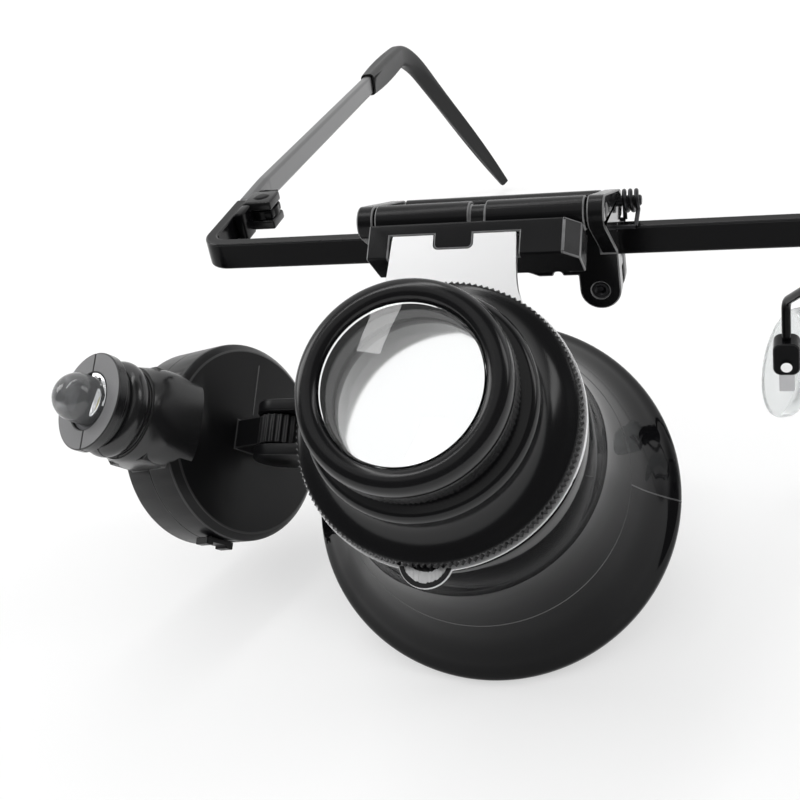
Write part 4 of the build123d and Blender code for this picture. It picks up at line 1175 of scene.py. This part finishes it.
@dataclass
class Bracket:
    """Metal bracket between the barrel and the holder, with the marks of its staking.

    Args:
        face: Front of the sheet along the loupe.
        sheet: Thickness of the sheet.
        ring_sheet: Thickness that the ring shows.
        lip_reach: Depth of the lip.
        ring_top: Height at which the ring has the whole sheet's thickness.
        ring_fade: Height over which it thins.
        bore: Radius within which the sheet keeps its thickness.
        bore_top: Height up to which it does.
        bump_centre: Middle of the bump, below the axis.
        bump: Radius of the bump.
        mark: Depth of the hammering.
    """

    frame: dict
    face: float = 11.2
    sheet: float = 0.6
    ring_sheet: float = 0.3
    lip_reach: float = 0.7
    ring_top: float = 11.6
    ring_fade: float = 1.6
    bore: float = 10.8
    bore_top: float = 11.0
    bump_centre: float = 11.45
    bump: float = 2.3
    mark: float = 0.07

    def build(self) -> None:
        """Thins the ring of a copied bracket and adds a thin black sheet of painted shade in the bump and the
        hammered mark.
        """
        piece = softened(self.frame, "loupe_bracket", BRACKET_METAL, Body.LOUPE, 0.07, 2, 40.0)
        self._thin(piece.data)
        self._painted_shade()
        self._mark()

    def _thin(self, mesh: Mesh) -> None:
        """Draws the ring's back in, less on the side where the lip shows.

        Args:
            mesh: The copied bracket's mesh.
        """
        place = loupe_matrix()
        back = place.inverted()
        for vert in mesh.vertices:
            point = back @ vert.co
            rise = point.z - self.face
            up = -point.y
            if rise < 0.05:
                continue
            ring = self._ramp(-up, -self.ring_top, self.ring_fade)
            right = self._ramp(point.x, 6.0, 4.0) * self._ramp(up, -5.5, 3.0)
            thin = self.ring_sheet + (self.sheet - self.ring_sheet) * (1.0 - ring)
            lip = thin + 0.02 + (self.lip_reach - thin) * right
            share = self._ramp(rise, self.sheet, 1.1)
            target = thin if rise <= self.sheet + 0.05 else thin + (lip - thin) * share
            if math.hypot(point.x, point.y) < self.bore and up < self.bore_top:
                target = max(target, self.sheet)
            point.z = self.face + target
            vert.co = place @ point

    @staticmethod
    def _ramp(value: float, start: float, span: float) -> float:
        """How far a value lies along a span: 0 before it, 1 behind it."""
        return min(1.0, max(0.0, (value - start) / span))

    def _painted_shade(self) -> None:
        """Builds a thin black sheet inside the bump's rim: painted shade."""
        shape = bmesh.new()
        bmesh.ops.create_circle(shape, cap_ends=True, segments=72, radius=self.bump - 0.05)
        bmesh.ops.translate(shape, vec=(0, self.bump_centre, self.face - 0.012), verts=shape.verts)
        cut = shape.verts[:] + shape.edges[:] + shape.faces[:]
        bmesh.ops.bisect_plane(shape, geom=cut, plane_co=(0, 12.0, 0), plane_no=(0, 1, 0), clear_inner=True)
        bmesh.ops.solidify(shape, geom=shape.faces[:], thickness=0.01)
        bmesh.ops.recalc_face_normals(shape, faces=shape.faces)
        new_piece("bracket_bump_recess", shape, loupe_matrix(), BARREL_BLACK, Body.LOUPE)

    def _mark(self) -> None:
        """Builds the hammered crescent where the sheet is staked."""
        shape = bmesh.new()
        rows = []
        for centre, radius in ((11.40, 1.88), (10.45, 1.95)):
            before = set(shape.verts)
            bmesh.ops.create_circle(shape, cap_ends=False, segments=96, radius=radius)
            ring = [v for v in shape.verts if v not in before]
            bmesh.ops.translate(shape, vec=(0, centre, self.face - 0.03), verts=ring)
            rows.append((ring, centre))
        low = [v for ring, centre in rows for v in ring if v.co.y < centre + 0.45]
        bmesh.ops.delete(shape, geom=low, context="VERTS")
        bmesh.ops.bridge_loops(shape, edges=shape.edges[:])
        bmesh.ops.subdivide_edges(shape, edges=shape.edges[:], cuts=2, use_grid_fill=True)
        for vert in shape.verts:
            spot = vert.co.copy()
            vert.co.z -= self.mark * abs(noise.noise(spot * 7.0))
            vert.co.y += 0.10 * noise.noise(spot * 5.0)
        bmesh.ops.solidify(shape, geom=shape.faces[:], thickness=0.02)
        bmesh.ops.recalc_face_normals(shape, faces=shape.faces)
        new_piece("bracket_hammered_mark", shape, loupe_matrix(), HAMMERED_METAL, Body.LOUPE)


@dataclass
class Lamp:
    """Lamp case, light source and switch.

    Args:
        face_at: Where the tube's front face is, ahead of the case's origin.
        dome_at: Where the light source's dome starts.
        radius: Radius of the light source.
        flange_back: Where its flange starts.
        flange_front: Where its flange ends.
        case_middle: Middle of the case across its two halves.
        line_from: Where the drum's mould line starts.
        line_to: Where that line ends.
        glint_inner: Inner radius of the painted reflection's crescent.
        glint_outer: Outer radius of the crescent.
        glint_depth: How far it reaches behind the tube's face.
        glint_start: Angle at which the crescent starts.
        glint_sweep: Angle that it sweeps.
    """

    frame: dict
    face_at: float = 18.0
    dome_at: float = 19.3
    radius: float = 2.5
    flange_back: float = 12.4
    flange_front: float = 13.4
    case_middle: float = 4.3
    line_from: float = 2.9
    line_to: float = 8.6
    glint_inner: float = 2.62
    glint_outer: float = 2.94
    glint_depth: float = 0.9
    glint_start: float = math.radians(-18)
    glint_sweep: float = math.radians(108)

    def build(self) -> None:
        """Rounds and finishes the lamp's pieces and builds the light source."""
        for node in ("lamp_shell_inner", "lamp_shell_outer"):
            # Rounded edges of the case get a lighter colour: painted highlight
            shell = softened(self.frame, node, LAMP_MOULDED, Body.LAMP, 0.14, 3, edge=LAMP_EDGE_HIGHLIGHT)
            self._face_finish(shell.data)
        softened(self.frame, "switch_slider", LAMP_MOULDED, Body.SWITCH, 0.1)
        for node, finish in (
            ("led_sleeve", DARK_METAL),
            ("led_leads", PIN_METAL),
            ("button_cells", CELL_METAL),
            ("contact_front", BRASS_PLATE),
            ("contact_rear", BRASS_PLATE),
        ):
            finish_node(self.frame, node, finish)
        self._body()
        self._seam()
        self._painted_reflection()
        self._light()

    def _face_finish(self, mesh: Mesh) -> None:
        """Gives the tube's front face its own grey and the tube its gloss.

        Args:
            mesh: Mesh of one half of the case.
        """
        for finish in (LAMP_FACE, LAMP_TUBE):
            mesh.materials.append(finish.material())
        back = lamp_matrix().inverted()
        for face in mesh.polygons:
            ahead = -(back @ face.center).x
            if ahead > self.face_at - 0.05 and face.normal.dot(LAMP_AHEAD) > 0.9:
                face.material_index = 2
            elif ahead > self.flange_back:
                face.material_index = 3

    def _tube_matrix(self) -> Matrix:
        """Place of the tube: millimetres with z ahead, x across and y up."""
        middle = Matrix.Translation((0, 0, -self.case_middle))
        return lamp_matrix() @ middle @ Matrix.Rotation(-math.pi / 2, 4, "Y")

    def _body(self) -> None:
        """Builds the smooth body that runs from the bead back to the drum, round in front and squarer behind."""
        shape = bmesh.new()
        ring = bmesh.ops.create_circle(shape, cap_ends=False, segments=96, radius=1.0)["verts"]
        edges = shape.edges[:]
        stations = (
            (13.45, 0.0, 4.86),
            (13.1, 0.0, 4.98),
            (12.6, 0.25, 5.02),
            (11.8, 0.7, 5.04),
            (11.0, 1.0, 5.06),
            (7.4, 1.0, 5.08),
        )
        for index, (ahead, square, reach) in enumerate(stations):
            if index:
                ring, edges = grown(shape, edges)
            power = 2.0 + 1.6 * square
            for vert in ring:
                angle = math.atan2(vert.co.y, vert.co.x)
                across, up = math.cos(angle), math.sin(angle)
                corner = (abs(across) ** power + abs(up) ** power) ** (-1.0 / power)
                vert.co = (across * corner * reach, up * corner * reach, ahead)
        bmesh.ops.solidify(shape, geom=shape.faces[:], thickness=0.04)
        bmesh.ops.recalc_face_normals(shape, faces=shape.faces)
        new_piece("lamp_tube_body", shape, self._tube_matrix(), LAMP_TUBE, Body.LAMP, BLOCK_SMOOTH)

    def _seam(self) -> None:
        """Builds the fine mould line on the drum's face, in a lighter colour that paints a highlight on it."""
        shape = rounded_block(Vector((-0.07, self.line_from, -0.03)), Vector((0.07, self.line_to, 0.035)), 0.025)
        new_piece("lamp_mould_line", shape, lamp_matrix(), MOULD_LINE_HIGHLIGHT, Body.LAMP, BLOCK_SMOOTH)

    def _painted_reflection(self) -> None:
        """Builds a bright metal crescent beside the dome, only where a reflection shows: a painted reflection."""
        front, back = self.face_at - 0.02, self.face_at - self.glint_depth
        profile = [(self.glint_inner, front, 0.0), (self.glint_outer, front, 0.0), (self.glint_outer, back, 0.0)]
        shape = swept(profile, self.glint_start, self.glint_sweep, 40)
        for vert in shape.verts:
            # Ragged inner edge of the painted reflection
            if vert.co.xy.length < (self.glint_inner + self.glint_outer) / 2:
                vert.co.xy *= 1.0 + 0.12 * noise.noise(vert.co * 2.3)
        bmesh.ops.solidify(shape, geom=shape.faces[:], thickness=0.04)
        bmesh.ops.recalc_face_normals(shape, faces=shape.faces)
        new_piece("led_reflector_glint", shape, self._tube_matrix(), BRIGHT_METAL, Body.LAMP)

    def _light(self) -> None:
        """Builds the clear light source with the metal frame inside it."""
        place = self._tube_matrix()
        quarter = [math.pi / 2 * i / 14 for i in range(14)]
        arc: Profile = [(self.radius * math.cos(a), self.dome_at + self.radius * math.sin(a), 0.0) for a in quarter]
        outline: Profile = [
            (0.0, self.flange_back + 0.02, 0.0),
            (2.9, self.flange_back + 0.02, 0.1),
            (2.9, self.flange_front, 0.1),
            (self.radius, self.flange_front, 0.0),
            *arc,
            (0.0, self.dome_at + self.radius, 0.0),
        ]
        shape = turned(outline, closed=False, steps=96)
        resin = new_piece("led_resin", shape, place, LED_RESIN, Body.LAMP, 40.0)
        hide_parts("led")
        aside = place @ Matrix.Translation((0.15, 0, self.dome_at))
        cup: Profile = [
            (0.0, -2.3, 0.0),
            (0.45, -2.3, 0.0),
            (0.75, -1.6, 0.05),
            (0.95, -1.6, 0.05),
            (0.95, -2.9, 0.1),
            (0.4, -3.7, 0.1),
            (0.0, -3.7, 0.0),
        ]
        shape = turned(cup, closed=False, steps=32)
        new_piece("led_anvil", shape, aside, BRIGHT_METAL, Body.LAMP)
        glow: Profile = [(0.0, -1.85, 0.0), (0.5, -1.9, 0.1), (0.5, -2.25, 0.0), (0.0, -2.25, 0.0)]
        shape = turned(glow, closed=False, steps=24)
        new_piece("led_phosphor_dot", shape, aside, PHOSPHOR, Body.LAMP)


@dataclass
class Studio:
    """Pale floor, soft lights, white background and the camera.

    Args:
        position: Place of the camera.
        yaw: Its turn round the vertical.
        pitch: Its lean downwards.
        roll: Its turn round its own line of sight.
        focal_pixels: Its focal length in pixels of the image.
        middle: Where its line of sight meets the image.
        image: Width and height of the image in pixels.
        sensor: Width of its sensor in millimetres.
        backdrop: Direction of the white backdrop that gloss mirrors.
        aim: Point at which the lights aim.
        daylight: Strength of the world's light.
        floor_glow: Share of white in what the camera sees of the floor.
    """

    position: Vector = field(default_factory=lambda: Vector((-7.498, -108.343, 50.841)) * MM)
    yaw: float = math.radians(21.717)
    pitch: float = math.radians(-30.354)
    roll: float = math.radians(11.504)
    focal_pixels: float = 1284.3
    middle: Spot = (381.5, 399.1)
    image: float = 800.0
    sensor: float = 36.0
    backdrop: tuple[float, float, float] = (-0.22, 0.92, -0.32)
    aim: tuple[float, float, float] = (-0.03, 0.0, -0.01)
    daylight: float = 0.72
    floor_glow: float = 0.5

    def build(self) -> None:
        """Makes the camera, the floor, the world and the lights."""
        self._camera()
        self._floor()
        self._world()
        self._lights()
        bpy.context.scene.view_settings.view_transform = "Standard"

    def _camera(self) -> None:
        """Places the camera at the photograph's angle, with its lens and framing."""
        level = Vector((math.cos(self.yaw), math.sin(self.yaw), 0.0))
        ahead = Vector((-math.sin(self.yaw), math.cos(self.yaw), math.tan(self.pitch))).normalized()
        down = ahead.cross(level)
        right = level * math.cos(self.roll) + down * math.sin(self.roll)
        below = down * math.cos(self.roll) - level * math.sin(self.roll)
        data = bpy.data.cameras.new("photo_camera")
        data.sensor_width = self.sensor
        data.lens = self.sensor * self.focal_pixels / self.image
        data.shift_x = (self.image / 2 - self.middle[0]) / self.image
        data.shift_y = (self.middle[1] - self.image / 2) / self.image
        data.clip_start = 0.005
        data.clip_end = 20.0
        camera = bpy.data.objects.new("photo_camera", data)
        turn = Matrix((right, -below, -ahead)).transposed().to_4x4()
        camera.matrix_world = Matrix.Translation(self.position) @ turn
        bpy.context.scene.collection.objects.link(camera)
        bpy.context.scene.camera = camera

    def _floor(self) -> None:
        """Makes the pale floor."""
        shape = bmesh.new()
        bmesh.ops.create_grid(shape, x_segments=1, y_segments=1, size=3.0)
        mesh = bpy.data.meshes.new("floor")
        shape.to_mesh(mesh)
        shape.free()
        floor = bpy.data.objects.new("floor", mesh)
        floor.location.z = FLOOR_LEVEL
        made = bpy.data.materials.new("floor_white")
        made.use_nodes = True
        tree = made.node_tree
        shader = tree.nodes["Principled BSDF"]
        feed(tree, shader, {"Base Color": (0.93, 0.93, 0.93, 1.0), "Roughness": 0.9, "Specular IOR Level": 0.1})
        white = add_node(tree, "ShaderNodeEmission", {"Strength": 1.0})
        path = tree.nodes.new("ShaderNodeLightPath").outputs
        seen = add_node(tree, "ShaderNodeMath", {0: path["Is Camera Ray"], 1: self.floor_glow}, "MULTIPLY")
        amount = add_node(tree, "ShaderNodeMath", {0: path["Is Transmission Ray"], 1: seen.outputs[0]}, "ADD")
        self._blend(tree, amount.outputs[0], shader, white, tree.nodes["Material Output"])
        mesh.materials.append(made)
        bpy.context.scene.collection.objects.link(floor)

    def _world(self) -> None:
        """Makes the world white where it is seen, a white backdrop for gloss, and soft grey as light."""
        world = bpy.data.worlds.new("studio_world")
        bpy.context.scene.world = world
        world.use_nodes = True
        tree = world.node_tree
        white = (1.0, 1.0, 1.0, 1.0)
        light = tree.nodes["Background"]
        feed(tree, light, {"Color": white, "Strength": self.daylight})
        seen = add_node(tree, "ShaderNodeBackground", {"Color": white, "Strength": 1.0})
        place = tree.nodes.new("ShaderNodeTexCoord").outputs["Generated"]
        behind = add_node(tree, "ShaderNodeVectorMath", {0: place, 1: self.backdrop}, "DOT_PRODUCT")
        limits = {"From Min": -0.10, "From Max": 0.22, "To Min": 0.09, "To Max": 1.0}
        fade = add_node(tree, "ShaderNodeMapRange", {**limits, "Value": behind.outputs["Value"]})
        fade.interpolation_type = "SMOOTHSTEP"
        gloss = add_node(tree, "ShaderNodeBackground", {"Color": fade.outputs[0]})
        path = tree.nodes.new("ShaderNodeLightPath").outputs
        rays = {0: path["Is Camera Ray"], 1: path["Is Transmission Ray"]}
        either = add_node(tree, "ShaderNodeMath", rays, "MAXIMUM")
        shine = self._blend(tree, path["Is Glossy Ray"], light, gloss)
        self._blend(tree, either.outputs[0], shine, seen, tree.nodes["World Output"])

    @staticmethod
    def _blend(tree: NodeTree, share: Socket, one: Node, two: Node, output: Node | None = None) -> Node:
        """Mixes two shaders.

        Args:
            tree: Tree that gets the mix.
            share: Share of the second shader.
            one: First shader.
            two: Second shader.
            output: Output node that the mix feeds, if it is the last one.

        Returns:
            The mix.
        """
        mix = add_node(tree, "ShaderNodeMixShader", {"Fac": share, 1: one.outputs[0], 2: two.outputs[0]})
        if output is not None:
            feed(tree, output, {"Surface": mix.outputs[0]})
        return mix

    def _lights(self) -> None:
        """Makes the soft area lights."""
        spots = (
            ("overhead_soft_box", (-0.20, -0.32, 0.70), 0.95, 0.75, 1.2),
            ("strip_light", (-0.25, 0.10, 0.75), 0.70, 0.08, 1.2),
            ("right_soft_box", (0.60, 0.12, 0.52), 0.24, 0.55, 1.3),
            ("left_soft_box", (-0.72, 0.01, 0.42), 0.26, 0.40, 1.3),
        )
        for name, place, wide, high, power in spots:
            data = bpy.data.lights.new(name, "AREA")
            data.shape = "RECTANGLE"
            data.size = wide
            data.size_y = high
            data.energy = power
            light = bpy.data.objects.new(name, data)
            light.location = place
            aim = Vector(self.aim) - Vector(place)
            light.rotation_mode = "QUATERNION"
            light.rotation_quaternion = aim.to_track_quat("-Z", "Y")
            bpy.context.scene.collection.objects.link(light)


def main() -> None:
    """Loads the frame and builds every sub-assembly."""
    logging.basicConfig(level=logging.INFO, format="%(message)s")
    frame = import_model()
    Studio().build()
    for kind in (SpectacleFrame, ClipAndJaw, LensBarrel, EyeCup, Bracket, Lamp):
        LOG.info("sub-assembly %s", kind.__name__)
        kind(frame).build()
    bpy.context.view_layer.update()


if __name__ == "__main__":
    main()
